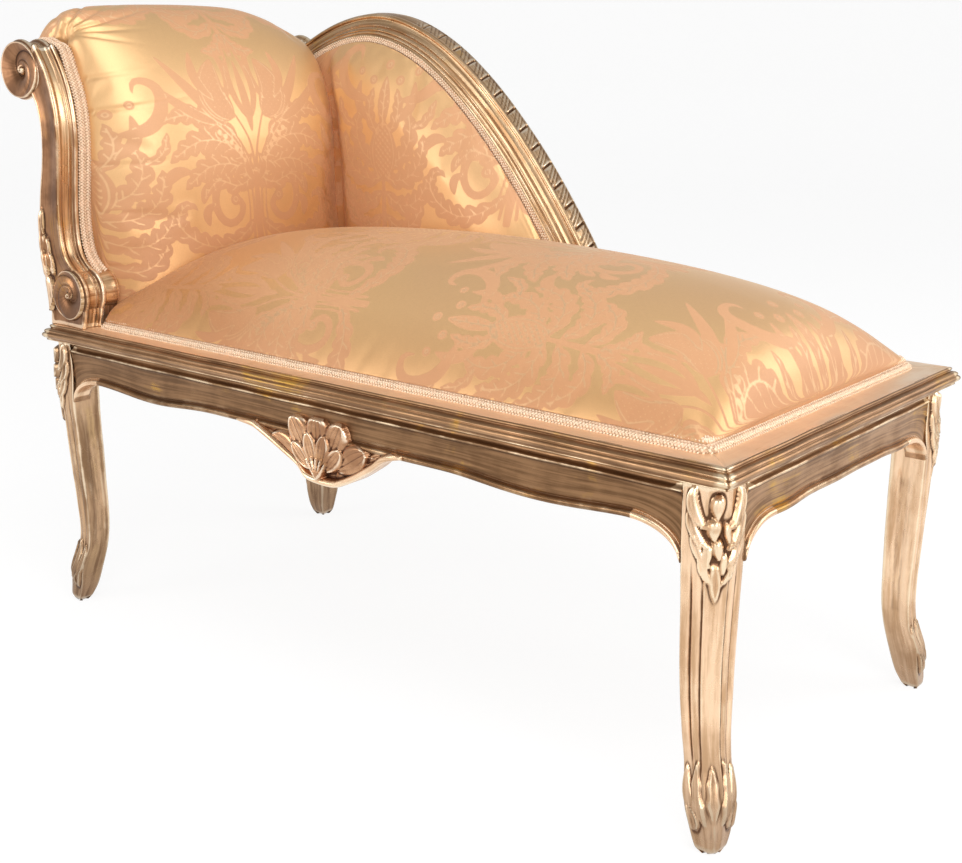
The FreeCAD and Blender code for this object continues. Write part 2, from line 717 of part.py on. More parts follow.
def back_webbing():
    y1 = rebate_plane
    straps = []
    low = seat_height + web_foot
    inside = inner_region(crest_show + gimp_width + 1.0, y1 - 2 * web_thickness, y1, back_left(), low)
    for x in spread(back_left() + 0.25 * web_width, back_left() + 0.6 * back_run, back_web_count):
        straps.append(box(x - web_width / 2, x + web_width / 2, y1 - web_thickness, y1, low, seat_height + crest_rise))
    for z in spread(seat_height + lower_rail_height, seat_height + 0.8 * crest_rise, back_cross_count):
        straps.append(box(back_left(), crest_end_x, y1 - 2 * web_thickness, y1 - web_thickness,
                          z - web_width / 2, z + web_width / 2))
    return Part.makeCompound([s.common(inside) for s in straps])


def back_hessian():
    y1 = rebate_plane - 2 * web_thickness
    return inner_region(crest_show + gimp_width, y1 - hessian_thickness, y1, back_left(), seat_height + 8)


def back_gimp():
    y1 = rebate_plane
    s0 = crest_show + soft_gap
    s1 = s0 + 0.5 * gimp_width + 2.0
    band = crest_band(s0, s1, y1 - gimp_thickness - 1.0, y1)
    keep = box(back_left(), crest_end_x + 10, 0, back_y, seat_height + 2.0, seat_height + 2 * crest_rise)
    return band.common(keep)


def back_outer_panel(stile_stop):
    y0 = back_y - panel_rebate
    body = inner_region(0.76 * crest_width + soft_gap, y0, y0 + panel_thickness, head_x, seat_height)
    return body.cut(stile_stop)


# Seat upholstery

def spread(first, last, count):
    """Middles of count straps spaced evenly between two edges."""
    pitch = (last - first) / count
    return [first + (i + 0.5) * pitch for i in range(count)]


def seat_webbing():
    inner_x = foot_x - board_width
    inner_y = back_y - board_width
    straps = []
    z = seat_height
    for y in spread(-inner_y, back_web_stop, web_long_count):
        straps.append(box(head_x + board_width - web_lap, inner_x + web_lap, y - web_width / 2, y + web_width / 2,
                          z, z + web_thickness))
    for x in spread(head_x + board_width, inner_x, web_cross_count):
        straps.append(box(x - web_width / 2, x + web_width / 2, -inner_y - web_lap, back_web_stop,
                          z + web_thickness, z + 2 * web_thickness))
    return Part.makeCompound(straps)


def cushion_wire(x, share):
    y0 = front_y + cushion_margin_front
    y1 = back_y - cushion_margin_back
    mid = 0.5 * (y0 + y1)
    half = 0.5 * (y1 - y0)
    z = pad_base
    h = share * cushion_crown
    rise = cushion_lip

    def at(k, up):
        return V(x, mid + k * half, z + up)
    crown = [at(k, rise + up * h) for k, up in crown_shape]
    return closed([at(-1, 0)] + crown + [at(1, 0)])


def seat_pad():
    start = seat_pad_start
    end = foot_x - cushion_margin_foot
    length = end - start
    wires = [cushion_wire(start + a * length, b) for a, b in cushion_rows]
    body = banded(wires)
    notch_y = rebate_plane - 2 * web_thickness - hessian_thickness - back_bulge - 2 * soft_gap
    crest_foot = crest_points(crest_show)[-1].x
    top = seat_height + 2 * cushion_crown
    body = body.cut(box(start - 10, crest_foot, notch_y, back_y, 0, top))
    body = body.cut(box(start - 10, crest_end_x + 3.0, face_front - soft_gap, back_y, 0, top))
    return body.cut(head_pad().translated(V(soft_gap, 0, 0)))


def seat_hessian():
    y0 = front_y + cushion_margin_front + 6
    y1 = back_y - cushion_margin_back - 6
    x0 = seat_pad_start
    x1 = foot_x - cushion_margin_foot - 6
    z = web_top
    sheet = box(x0, x1, y0, y1, z, z + hessian_thickness)
    braid_front = rebate_plane - gimp_thickness - 1.0
    return sheet.cut(box(x0 - 1, crest_end_x + 3.0, min(face_front, braid_front) - 2 * soft_gap, back_y, 0, z + 10))


def ring_wire(inset, z):
    """Rectangle round the cushion, inset from its edge, at height z."""
    x0 = head_x + base_volute_out + base_volute_radius + soft_gap
    x1 = foot_x - cushion_margin_foot - inset
    y0 = front_y + cushion_margin_front + inset
    y1 = back_y - cushion_margin_back - inset
    corners = [V(x0, y0, z), V(x1, y0, z), V(x1, y1, z), V(x0, y1, z)]
    return Part.makePolygon(corners + [corners[0]])


def seat_gimp():
    """Braid round the cushion's edge: along the front, across the foot end, back to the crest rail."""
    z0 = seat_height
    z1 = z0 + gimp_rise
    outer = banded([ring_wire(-gimp_overlap, z0), ring_wire(gimp_lean - gimp_overlap, z1)])
    inner = Part.Face(ring_wire(-soft_gap, z0)).extrude(V(0, 0, gimp_rise))
    return outer.cut(inner).cut(box(head_x, crest_end_x + 3.0, 0, back_y, z0 - 1, z1 + 1))


# Corner blocks, inside the frame

def corner_blocks():
    """Glue block in each inner corner, round the leg's block and against both rails."""
    blocks = []
    z0 = board_bottom - corner_block_height
    half = leg_block / 2
    rail_y = back_y - rail_setback - rail_thickness
    leg_y = back_y - leg_block_inset_y - half
    for sx in (1, -1):
        shift = head_leg_shift if sx < 0 else 0.0
        leg_x = foot_x - leg_block_inset_x + shift - half
        rail_x = rail_inner_x(sx)
        for sy in (1, -1):
            plan = [(leg_x, rail_y), (leg_x - corner_block_leg, rail_y), (rail_x, leg_y - corner_block_leg),
                    (rail_x, leg_y), (leg_x, leg_y)]
            outline = [V(sx * x, sy * y, z0) for x, y in plan]
            blocks.append(prism(outline, V(0, 0, corner_block_height)))
    return Part.makeCompound(blocks)


def rail_inner_x(side_x):
    """Distance from the middle to the inner face of the rail across the foot or head end."""
    shift = head_rail_shift if side_x < 0 else 0.0
    return foot_x + shift - rail_setback - rail_thickness


# Assembly

def build():
    parts = {}
    half = leg_block / 2
    x_foot = foot_x - leg_block_inset_x - half
    x_head = -(foot_x - leg_block_inset_x + head_leg_shift - half)
    y_leg = back_y - leg_block_inset_y - half

    front_face = front_y + rail_setback
    front_rail = rail(x_head, x_foot, front_face)
    back_rail = front_rail.mirror(V(0, 0, 0), V(0, 1, 0))
    foot_rail = turned(rail(-y_leg, y_leg, -foot_x + rail_setback))
    head_face = -(foot_x + head_rail_shift - rail_setback)
    head_rail = turned_back(rail(-y_leg, y_leg, head_face))

    tenons_x = [rail_tenon(x_head, -1, front_face, joint_clearance), rail_tenon(x_foot, 1, front_face, joint_clearance)]
    tenons_x += [mirror_y(t) for t in tenons_x]
    foot_tenons = [turned(rail_tenon(s * y_leg, s, -foot_x + rail_setback, joint_clearance)) for s in (-1, 1)]
    head_tenons = [turned_back(rail_tenon(s * y_leg, s, head_face, joint_clearance)) for s in (-1, 1)]
    mortises = Part.makeCompound(tenons_x + foot_tenons + head_tenons + [stile_peg(joint_clearance),
                                                                       mirror_y(stile_peg(joint_clearance))])

    for name, sx, sy in (("front_left_leg", -1, -1), ("back_left_leg", -1, 1),
                         ("front_right_leg", 1, -1), ("back_right_leg", 1, 1)):
        parts[name] = leg(sx, sy).cut(mortises)

    parts["front_rail"] = front_rail.cut(shell_seat())
    parts["back_rail"] = back_rail
    parts["foot_rail"] = foot_rail
    parts["head_rail"] = head_rail
    parts["front_shell_carving"] = shell()

    pegs = Part.makeCompound([stile_peg(joint_clearance), mirror_y(stile_peg(joint_clearance))])
    back_board = board(frame_length, frame_depth, True)
    foot_board = board(frame_depth, frame_length, False)
    parts["back_margin_board"] = back_board.cut(pegs)
    parts["front_margin_board"] = mirror_y(back_board).cut(pegs)
    parts["foot_margin_board"] = foot_board
    parts["head_margin_board"] = foot_board.mirror(V(0, 0, 0), V(1, 0, 0)).cut(pegs)

    parts["corner_blocks"] = corner_blocks()

    front_stile = stile()
    rear_stile = mirror_y(front_stile)
    parts["head_stile_front"] = front_stile
    parts["head_stile_rear"] = rear_stile
    parts["head_crest_rail"] = head_crest()
    parts["head_lower_rail"] = head_lower()
    parts["head_outer_panel"] = head_outer_panel().cut(parts["head_lower_rail"]).cut(parts["head_crest_rail"])
    parts["head_webbing"] = head_webbing()
    parts["head_pad"] = head_pad()
    parts["head_gimp"] = head_gimp().cut(front_stile)

    stile_stop = stile_side()
    crest = crest_rail().cut(stile_stop).cut(box(head_x - outside, head_x, 0, back_y + outside, 0, 2 * seat_height))
    crest = crest.cut(behind_stile())
    parts["back_crest_rail"] = crest
    parts["back_lower_rail"] = back_lower_rail(stile_stop)
    parts["back_webbing"] = back_webbing()
    parts["back_hessian"] = back_hessian()
    parts["back_pad"] = back_pad()
    parts["back_gimp"] = back_gimp()
    parts["back_outer_panel"] = back_outer_panel(stile_stop)

    parts["seat_webbing"] = seat_webbing()
    parts["seat_hessian"] = seat_hessian()
    parts["seat_pad"] = seat_pad()
    parts["seat_gimp"] = seat_gimp()
    return parts


os.makedirs("parts", exist_ok=True)
for name, shape in build().items():
    placed = shape.copy()
    placed.translate(V(frame_shift, 0, 0))
    placed.exportStep("parts/" + name + ".step")
    print(name, "solids", len(placed.Solids), "valid", placed.isValid(), "volume", round(placed.Volume))
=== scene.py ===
# %% [markdown]
# A gilded chaise longue in the Louis XV manner, dressed over its CAD frame.
# The CAD model fixes where every piece is. This script gives each piece its carved or stuffed form and its finish.

# %% Load the frame
import json
import math

import bmesh
import bpy
import numpy as np
from mathutils import Matrix, Vector


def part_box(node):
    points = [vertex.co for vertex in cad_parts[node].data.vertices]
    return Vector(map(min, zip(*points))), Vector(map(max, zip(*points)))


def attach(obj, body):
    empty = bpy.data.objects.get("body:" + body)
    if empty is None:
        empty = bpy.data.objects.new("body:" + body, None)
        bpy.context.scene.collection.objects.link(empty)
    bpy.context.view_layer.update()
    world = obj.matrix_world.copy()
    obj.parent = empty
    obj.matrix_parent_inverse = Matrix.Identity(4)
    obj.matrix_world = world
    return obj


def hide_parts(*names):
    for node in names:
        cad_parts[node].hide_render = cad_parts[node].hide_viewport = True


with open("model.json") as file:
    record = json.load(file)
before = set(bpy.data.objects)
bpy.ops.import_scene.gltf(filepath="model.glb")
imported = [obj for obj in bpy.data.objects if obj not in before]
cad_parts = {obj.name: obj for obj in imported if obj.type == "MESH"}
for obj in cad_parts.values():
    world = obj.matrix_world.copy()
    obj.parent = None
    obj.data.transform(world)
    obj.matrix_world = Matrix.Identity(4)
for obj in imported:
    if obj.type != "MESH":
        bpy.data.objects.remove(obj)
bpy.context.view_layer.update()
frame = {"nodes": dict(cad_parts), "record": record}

# %% [markdown]
# The seat frame's flat top edge is the datum that every other piece is set out from, as a joiner would.
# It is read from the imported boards, whose moulded edge swells past the flat top. Typed numbers would do as well,
# but numbers read from the frame can't drift away from it.

# %% Planes of the seat frame
mm = 0.001
edge_swell = 10 * mm
seat_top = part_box("front_margin_board")[1].z
board_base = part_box("front_margin_board")[0].z
head_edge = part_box("head_margin_board")[0].x + edge_swell
foot_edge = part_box("foot_margin_board")[1].x - edge_swell
front_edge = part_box("front_margin_board")[0].y + edge_swell
back_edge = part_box("back_margin_board")[1].y - edge_swell
middle_x = 0.5 * (head_edge + foot_edge)
print("seat frame", round(foot_edge - head_edge, 3), "by", round(back_edge - front_edge, 3))
print("seat top at", round(seat_top, 3))

# %% [markdown]
# The camera stands where the photograph was taken from: in front of the foot end, a little above the seat.
# It could be placed by eye. These numbers come from a perspective fit of the seat frame, legs and stiles instead,
# so that every straight edge runs as it does in the photograph.

# %% Camera
camera_place = Vector((1.2537, -1.4466, 0.8468))
camera_yaw = math.radians(39.78)
camera_pitch = math.radians(15.87)
camera_roll = math.radians(-0.31)
focal_pixels = 1445.6
image_width = 962


def linked(name, data):
    """Object for the data, linked into the scene."""
    made = bpy.data.objects.new(name, data)
    bpy.context.scene.collection.objects.link(made)
    return made


def aim(yaw, pitch, roll):
    """Camera axes for a view turned by yaw to the left, tipped down by pitch and rolled."""
    look = Vector((-math.sin(yaw) * math.cos(pitch), math.cos(yaw) * math.cos(pitch), -math.sin(pitch)))
    side = look.cross(Vector((0, 0, 1))).normalized()
    rise = side.cross(look)
    right = math.cos(roll) * side + math.sin(roll) * rise
    up = -math.sin(roll) * side + math.cos(roll) * rise
    return Matrix((right, up, -look)).transposed()


camera_data = bpy.data.cameras.new("camera")
camera_data.sensor_width = 36.0
camera_data.lens = camera_data.sensor_width * focal_pixels / image_width
camera = linked("camera", camera_data)
camera.matrix_world = Matrix.Translation(camera_place) @ aim(camera_yaw, camera_pitch, camera_roll).to_4x4()
bpy.context.scene.camera = camera
bpy.context.scene.view_settings.view_transform = "Standard"
print("lens", round(camera_data.lens, 2), "mm")

# %% [markdown]
# A finish is a tree of nodes. It could be put together by hand, but a script makes the same tree each time.
# Nodes are written often below, so a short helper adds one. A socket given as a value is linked, and anything else
# is set.

# %% Helpers for materials
def add(tree, kind, inputs=None, **settings):
    """New node of that kind, with its inputs set or linked and its settings made."""
    made = tree.nodes.new(kind)
    for key, value in settings.items():
        setattr(made, key, value)
    for key, value in (inputs or {}).items():
        if isinstance(value, bpy.types.NodeSocket):
            tree.links.new(value, made.inputs[key])
        else:
            made.inputs[key].default_value = value
    return made


def blended(tree, factor, first, second, mode="MIX"):
    """Colour between first and second by factor."""
    made = add(tree, "ShaderNodeMix", {0: factor, 6: first, 7: second}, data_type="RGBA", blend_type=mode)
    return made.outputs[2]


def graded(tree, value, low, high, to_low=0.0, to_high=1.0):
    """Value spread smoothly from low..high to to_low..to_high."""
    made = add(tree, "ShaderNodeMapRange", {0: value, 1: low, 2: high, 3: to_low, 4: to_high},
               interpolation_type="SMOOTHSTEP")
    return made.outputs[0]


def maths(tree, operation, first, second=0.5):
    """Result of one sum on two values."""
    return add(tree, "ShaderNodeMath", {0: first, 1: second}, operation=operation).outputs[0]


def noise(tree, place, scale, detail=3.0, roughness=0.55, distortion=0.0):
    """Soft random value, about 0.5 in the middle."""
    inputs = {"Vector": place, "Scale": scale, "Detail": detail, "Roughness": roughness, "Distortion": distortion}
    return add(tree, "ShaderNodeTexNoise", inputs).outputs["Fac"]


def attribute(tree, name):
    """Number that the mesh stores under that name."""
    return add(tree, "ShaderNodeAttribute", attribute_name=name).outputs["Fac"]


def stretched(tree, place, x, y, z):
    """Coordinates scaled by x, y and z."""
    return add(tree, "ShaderNodeMapping", {"Vector": place, "Scale": (x, y, z)}).outputs["Vector"]


def new_finish(name):
    """Empty node material with its shader, and the two coordinates that the finishes read."""
    material = bpy.data.materials.new(name)
    material.use_nodes = True
    tree = material.node_tree
    tree.nodes.clear()
    output = add(tree, "ShaderNodeOutputMaterial")
    shader = add(tree, "ShaderNodeBsdfPrincipled")
    tree.links.new(shader.outputs[0], output.inputs[0])
    place = add(tree, "ShaderNodeTexCoord").outputs["Object"]
    along = add(tree, "ShaderNodeUVMap", uv_map="along").outputs[0]
    return material, tree, shader, place, along


def set_bump(tree, shader, height, distance, strength=1.0):
    """Fine relief on the shader, from a height of 0 to 1 that stands for distance."""
    made = add(tree, "ShaderNodeBump", {"Height": height, "Distance": distance, "Strength": strength})
    tree.links.new(made.outputs[0], shader.inputs["Normal"])


def set_values(shader, **values):
    """Sets shader sockets by name, with _ for a space."""
    for key, value in values.items():
        shader.inputs[key.replace("_", " ")].default_value = value


print("materials so far", len(bpy.data.materials))

# %% [markdown]
# Real gilding is leaf over gesso and clay. Its high points are painted paler, partly as rubbed wear and partly as a
# painted highlight, its hollows keep a brown glaze, and long streaks follow the mouldings where the glaze was wiped.
# The attribute relief, stored on each piece when it is made, says how far a point stands proud of its surroundings,
# and the UV map along runs with the piece.
# A painted picture could hold all this, but noise steered by these two fits any shape and stays sharp close up.

# %% Gilding
# Heights under which the gilding is blended darker towards the floor.
darker_below = 0.18
darkest_below = 0.05


def gilding(name, leaf, shade, glaze, rubbed_and_highlight, ochre, streak=0.7, roughness=0.34, ochre_share=1.0, grain=1.0):
    """Leaf that varies to its shade, glaze in the hollows, high points painted paler as rubbed wear and painted
    highlight, and patches where ochre clay shows.
    streak is the share of streaks against blotches, and grain makes the streaks finer."""
    material, tree, shader, place, along = new_finish(name)
    relief = attribute(tree, "relief")
    blotch = noise(tree, place, 24.0, 5.0)
    streaks = noise(tree, stretched(tree, along, 7.0, 260.0 * grain, 1.0), 1.0, 4.0, 0.6)
    fine = noise(tree, stretched(tree, along, 50.0, 600.0 * grain, 1.0), 1.0, 3.0)
    tone = maths(tree, "ADD", maths(tree, "MULTIPLY", streaks, streak),
                 maths(tree, "MULTIPLY", blotch, 1.0 - streak))
    colour = blended(tree, graded(tree, tone, 0.38, 0.60), shade, leaf)
    patch = graded(tree, noise(tree, place, 9.0, 4.0, 0.6, 0.6), 0.55, 0.68, 0.0, ochre_share)
    colour = blended(tree, maths(tree, "MULTIPLY", patch, graded(tree, streaks, 0.42, 0.60)), colour, ochre)
    hollow = maths(tree, "ADD", relief, graded(tree, fine, 0.3, 0.7, -0.10, 0.10))
    colour = blended(tree, graded(tree, hollow, -0.06, -0.85), colour, glaze)
    # Proud points are blended to the paler rubbed colour: partly rubbed wear, partly a painted highlight.
    proud = maths(tree, "ADD", relief, graded(tree, blotch, 0.35, 0.65, -0.28, 0.20))
    colour = blended(tree, graded(tree, proud, 0.22, 0.95, 0.0, 0.72), colour, rubbed_and_highlight)
    # Below darker_below the colour is blended towards the glaze, fully at darkest_below: the gilding is darker
    # towards the floor.
    above_floor = add(tree, "ShaderNodeSeparateXYZ", {0: place}).outputs["Z"]
    ragged = maths(tree, "ADD", above_floor, maths(tree, "MULTIPLY", blotch, 0.06))
    colour = blended(tree, graded(tree, ragged, darker_below, darkest_below, 0.0, 0.55), colour, glaze)
    tree.links.new(colour, shader.inputs["Base Color"])
    worn = graded(tree, blotch, 0.3, 0.7, roughness + 0.08, roughness - 0.07)
    tree.links.new(worn, shader.inputs["Roughness"])
    set_values(shader, Metallic=0.85)
    height = maths(tree, "ADD", maths(tree, "MULTIPLY", fine, 0.5), noise(tree, place, 170.0, 3.0))
    set_bump(tree, shader, height, 0.30 * mm, 0.4)
    return material


# The colours of each finish are its leaf, shade, glaze, rubbed metal with its painted highlight, and ochre.
gold = gilding("gilding", (0.96, 0.67, 0.44, 1), (0.62, 0.385, 0.215, 1), (0.12, 0.055, 0.026, 1),
               (1.0, 0.82, 0.58, 1), (0.74, 0.48, 0.20, 1), streak=0.80, roughness=0.27, ochre_share=0.25, grain=0.28)
# A darker copy of the leg gilding for the two legs at the head end: painted shade.
gold_head_legs_shaded = gilding("gilding_head_legs_painted_shade", (0.62, 0.40, 0.235, 1), (0.27, 0.155, 0.08, 1), (0.09, 0.04, 0.018, 1),
                    (1.0, 0.82, 0.60, 1), (0.56, 0.37, 0.15, 1), streak=0.85, roughness=0.27, ochre_share=0.4,
                    grain=0.30)
gold_dark = gilding("gilding_brown", (0.47, 0.27, 0.14, 1), (0.23, 0.12, 0.055, 1), (0.10, 0.047, 0.02, 1),
                    (0.95, 0.78, 0.54, 1), (0.60, 0.34, 0.07, 1))
# A darker copy of the brown gilding for the front and back rails: painted shade.
gold_rail_shaded = gilding("gilding_rail_painted_shade", (0.31, 0.168, 0.08, 1), (0.155, 0.078, 0.034, 1), (0.09, 0.04, 0.018, 1),
                    (0.95, 0.76, 0.52, 1), (0.58, 0.32, 0.06, 1))
gold_light = gilding("gilding_pale", (0.74, 0.51, 0.30, 1), (0.42, 0.235, 0.11, 1), (0.13, 0.06, 0.026, 1),
                     (1.0, 0.88, 0.70, 1), (0.68, 0.38, 0.09, 1), streak=0.85, roughness=0.30)
# A dark umber copy of the gilding for the stiles' side and head-facing faces: painted shade.
gold_umber_shaded = gilding("gilding_umber_painted_shade", (0.34, 0.17, 0.085, 1), (0.17, 0.078, 0.036, 1), (0.045, 0.018, 0.009, 1),
                     (0.98, 0.72, 0.50, 1), (0.40, 0.20, 0.06, 1), streak=0.3)
gold_copper = gilding("gilding_copper", (0.66, 0.37, 0.20, 1), (0.38, 0.19, 0.095, 1), (0.085, 0.032, 0.015, 1),
                      (1.0, 0.82, 0.62, 1), (0.50, 0.25, 0.08, 1), streak=0.2, roughness=0.24, ochre_share=0.3)
# A much lighter copy of the brown gilding, for faces that look straight up: painted light.
gold_top_lit = gilding("gilding_top_painted_light", (1.0, 0.76, 0.54, 1), (0.94, 0.67, 0.45, 1), (0.22, 0.12, 0.06, 1),
                    (0.93, 0.67, 0.46, 1), (0.82, 0.54, 0.28, 1), streak=0.35, roughness=0.42)
print("finishes", [m.name for m in bpy.data.materials if m.name.startswith("gilding")])

# %% [markdown]
# Most wooden pieces are drawn as a row of closed rings: a section that is swept, bent and carved as it goes.
# A curve object with a bevel sweeps a section too, but can't change it on the way, as carving needs.
# One helper skins such a row, closes its ends and gives it the UV map and the relief that the gilding reads.

# %% Numbers kept on a mesh
relief_depth = 0.55 * mm
fine_mesh = 2.6 * mm


def vectors(items, key="co"):
    """A mesh's points, or the values of an attribute, as rows of three numbers."""
    values = np.empty(len(items) * 3)
    items.foreach_get(key, values)
    return values.reshape(-1, 3)


def keep(mesh, label, values, kind="FLOAT"):
    """Stores a number, or a vector, for every point of the mesh."""
    layer = mesh.attributes.new(label, kind, "POINT")
    layer.data.foreach_set("value" if kind == "FLOAT" else "vector", np.ravel(values))


def calmed(values, ends, degree, passes):
    """Values drawn half of the way to the mean of their neighbours on each pass."""
    for _ in range(passes):
        total = np.bincount(ends[:, 0], weights=values[ends[:, 1]], minlength=len(values))
        total += np.bincount(ends[:, 1], weights=values[ends[:, 0]], minlength=len(values))
        values = 0.5 * values + 0.5 * total / degree
    return values


def mark_relief(mesh):
    """Stores how far each point stands proud of, or sinks below, the surface round it. Coarse mesh gets none."""
    place = vectors(mesh.vertices)
    ends = np.empty(len(mesh.edges) * 2, dtype=int)
    mesh.edges.foreach_get("vertices", ends)
    ends = ends.reshape(-1, 2)
    degree = np.maximum(np.bincount(ends.ravel(), minlength=len(place)), 1)
    calm = np.stack([calmed(place[:, k], ends, degree, 8) for k in range(3)], axis=1)
    lift = calmed(((place - calm) * vectors(mesh.vertices, "normal")).sum(axis=1), ends, degree, 2)
    span = np.linalg.norm(place[ends[:, 0]] - place[ends[:, 1]], axis=1)
    spread = np.maximum(*(np.bincount(ends[:, k], span, len(place)) for k in (0, 1))) / degree * 2
    lift *= np.minimum(1.0, (fine_mesh / np.maximum(spread, 1e-6)) ** 4)
    keep(mesh, "relief", np.clip(lift / relief_depth, -1.5, 1.5))


print("full relief is", relief_depth, "m, read where the mesh is finer than", fine_mesh, "m")

# %% Skinning a row of rings
def shaded(mesh):
    """Smooth shading on every face."""
    mesh.polygons.foreach_set("use_smooth", [True] * len(mesh.polygons))
    mesh.update()


def placed(name, mesh, material, nodes=()):
    """Object for a finished mesh, riding on the frame and standing for the CAD nodes named."""
    piece = linked(name, mesh)
    mesh.materials.append(material)
    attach(piece, "root")
    if nodes:
        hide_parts(*nodes)
    return piece


def picked_out(piece, material, where):
    """Second finish, on the faces for which where is true."""
    piece.data.materials.append(material)
    for face in piece.data.polygons:
        face.material_index = int(where(face))


def skin(name, rings):
    """Closed mesh over a row of closed rings, with its UV map in metres."""
    rings = np.asarray(rings, dtype=float)
    rows, around = rings.shape[:2]
    points = np.concatenate([rings.reshape(-1, 3), rings[0].mean(axis=0)[None], rings[-1].mean(axis=0)[None]])
    # Quads between the rings, then a fan of triangles over each end.
    i, j = np.meshgrid(np.arange(rows - 1), np.arange(around), indexing="ij")
    after = (j + 1) % around
    quads = np.stack([i * around + j, i * around + after, (i + 1) * around + after, (i + 1) * around + j], axis=-1)
    quads = quads.reshape(-1, 4)
    ring = np.arange(around)
    first = np.stack([np.full(around, rows * around), (ring + 1) % around, ring], axis=-1)
    base = (rows - 1) * around
    last = np.stack([np.full(around, rows * around + 1), base + ring, base + (ring + 1) % around], axis=-1)
    # The sign of the volume says whether the faces point outwards.
    a, b, c, d = (points[quads[:, k]] for k in range(4))
    volume = (np.cross(b - a, c - a) * a).sum() + (np.cross(c - a, d - a) * a).sum()
    for cap in (first, last):
        p, q, r = (points[cap[:, k]] for k in range(3))
        volume += (np.cross(q - p, r - p) * p).sum()
    # The UV map runs along the piece, then round it.
    run = np.concatenate([[0], np.cumsum(np.linalg.norm(rings[1:] - rings[:-1], axis=2).mean(axis=1))])
    girth = np.linalg.norm(np.roll(rings, -1, axis=1) - rings, axis=2).mean(axis=0)
    turn = np.concatenate([[0], np.cumsum(girth)])
    sides = np.stack([np.stack([run[i], turn[j]], -1), np.stack([run[i], turn[j + 1]], -1),
                      np.stack([run[i + 1], turn[j + 1]], -1), np.stack([run[i + 1], turn[j]], -1)], axis=2)
    sides = sides.reshape(-1, 4, 2)
    cap_uv = np.stack([np.zeros(around), turn[:-1]], axis=-1)
    if volume < 0:
        quads, first, last = quads[:, ::-1], first[:, ::-1], last[:, ::-1]
        sides = sides[:, ::-1]
    mesh = bpy.data.meshes.new(name)
    mesh.from_pydata(points.tolist(), [], quads.tolist() + first.tolist() + last.tolist())
    layer = mesh.uv_layers.new(name="along")
    caps = np.repeat(cap_uv, 3, axis=0)
    layer.data.foreach_set("uv", np.concatenate([sides.reshape(-1, 2), caps, caps]).ravel())
    shaded(mesh)
    mark_relief(mesh)
    return mesh


print("skins so far", len(bpy.data.meshes))

# %% [markdown]
# Hand work is never quite straight. A sum of a few slow waves, always the same ones, moves every point a little.
# A Displace modifier moves points along their normals, which would fatten a moulding here and thin it there. Waves
# in space bend it a little instead.

# %% Unevenness of hand work
rng = np.random.default_rng(7)
wave_turns = rng.normal(size=(8, 3))
wave_turns /= np.linalg.norm(wave_turns, axis=1)[:, None]
wave_starts = rng.uniform(0, 2 * math.pi, size=(8, 3))


def uneven(points, amount, wave):
    """Points moved by up to about amount, in waves about that long."""
    flat = np.asarray(points, dtype=float).reshape(-1, 3)
    phase = flat @ wave_turns.T * (2 * math.pi / wave)
    shift = np.stack([np.sin(phase + wave_starts[:, k]).sum(axis=1) for k in range(3)], axis=1)
    return (flat + shift * amount / 4).reshape(np.shape(points))


print("waves", len(wave_turns))

# %% [markdown]
# A joiner sets out a moulding or a leg by a few points and fairs a curve through them. Bezier curves would do, but a
# spline worked out here gives exactly as many points as a mesh needs.

# %% Fair curves through a few points
def running(path):
    """Distance along a path from its start to each of its points."""
    return np.concatenate([[0], np.cumsum(np.linalg.norm(np.diff(path, axis=0), axis=1))])


def smooth_curve(rows, count):
    """Even steps along a natural spline through the rows of numbers."""
    rows = np.asarray(rows, dtype=float)
    knot = running(rows)
    span = np.diff(knot)
    system = np.eye(len(rows))
    right = np.zeros_like(rows)
    for k in range(1, len(rows) - 1):
        system[k, k - 1:k + 2] = span[k - 1] / 6, (span[k - 1] + span[k]) / 3, span[k] / 6
        right[k] = (rows[k + 1] - rows[k]) / span[k] - (rows[k] - rows[k - 1]) / span[k - 1]
    bend = np.linalg.solve(system, right)
    steps = []
    for k, h in enumerate(span):
        for t in np.linspace(0, 1, 24, endpoint=False):
            a, b = 1 - t, t
            steps.append(a * rows[k] + b * rows[k + 1]
                         + h * h / 6 * ((a ** 3 - a) * bend[k] + (b ** 3 - b) * bend[k + 1]))
    steps = np.array(steps + [rows[-1]])
    run = running(steps)
    want = np.linspace(0, run[-1], count)
    return np.stack([np.interp(want, run, steps[:, k]) for k in range(steps.shape[1])], axis=1)


def eased(rows, t):
    """Values at t on a smooth curve through rows that are sorted by their first number."""
    rows = np.asarray(rows, dtype=float)
    k = int(np.clip(np.searchsorted(rows[:, 0], t, side="right") - 1, 0, len(rows) - 2))
    before, a, b, after = rows[max(k - 1, 0)], rows[k], rows[k + 1], rows[min(k + 2, len(rows) - 1)]
    span = b[0] - a[0]
    u = (t - a[0]) / span
    leave = span * (b - before)[1:] / (b[0] - before[0])
    arrive = span * (after - a)[1:] / (after[0] - a[0])
    return (a[1:] * (1 + 2 * u) * (1 - u) ** 2 + leave * u * (1 - u) ** 2
            + b[1:] * u * u * (3 - 2 * u) - arrive * u * u * (1 - u))


print("an arc of three points is", round(float(running(smooth_curve([(0, 0), (1, 1), (2, 0)], 50))[-1]), 3), "long")

# %% [markdown]
# The margin boards are mitred and moulded: a flat top that shows round the cushion, a fine groove, and a bead.
# One section is swept along each side. Points further out run further along, which makes the mitres.
# A box with a Bevel modifier would give one plain round edge, without the groove and the bead.

# %% Margin boards
board_width = 75 * mm
board_step = 3.0 * mm
edge_points = 58
board_section = [(-1.2, -0.0), (0.0, -0.2), (1.1, -1.0), (1.5, -2.3), (0.9, -3.6), (-0.2, -4.4), (0.4, -5.3),
                 (3.2, -5.6), (5.6, -6.4), (7.2, -8.0), (7.4, -9.6), (6.9, -10.4), (7.9, -11.0), (9.3, -12.2),
                 (9.9, -13.8), (9.7, -15.6), (8.6, -17.4), (7.0, -18.6), (5.6, -19.4), (5.0, -20.6), (5.3, -22.0)]


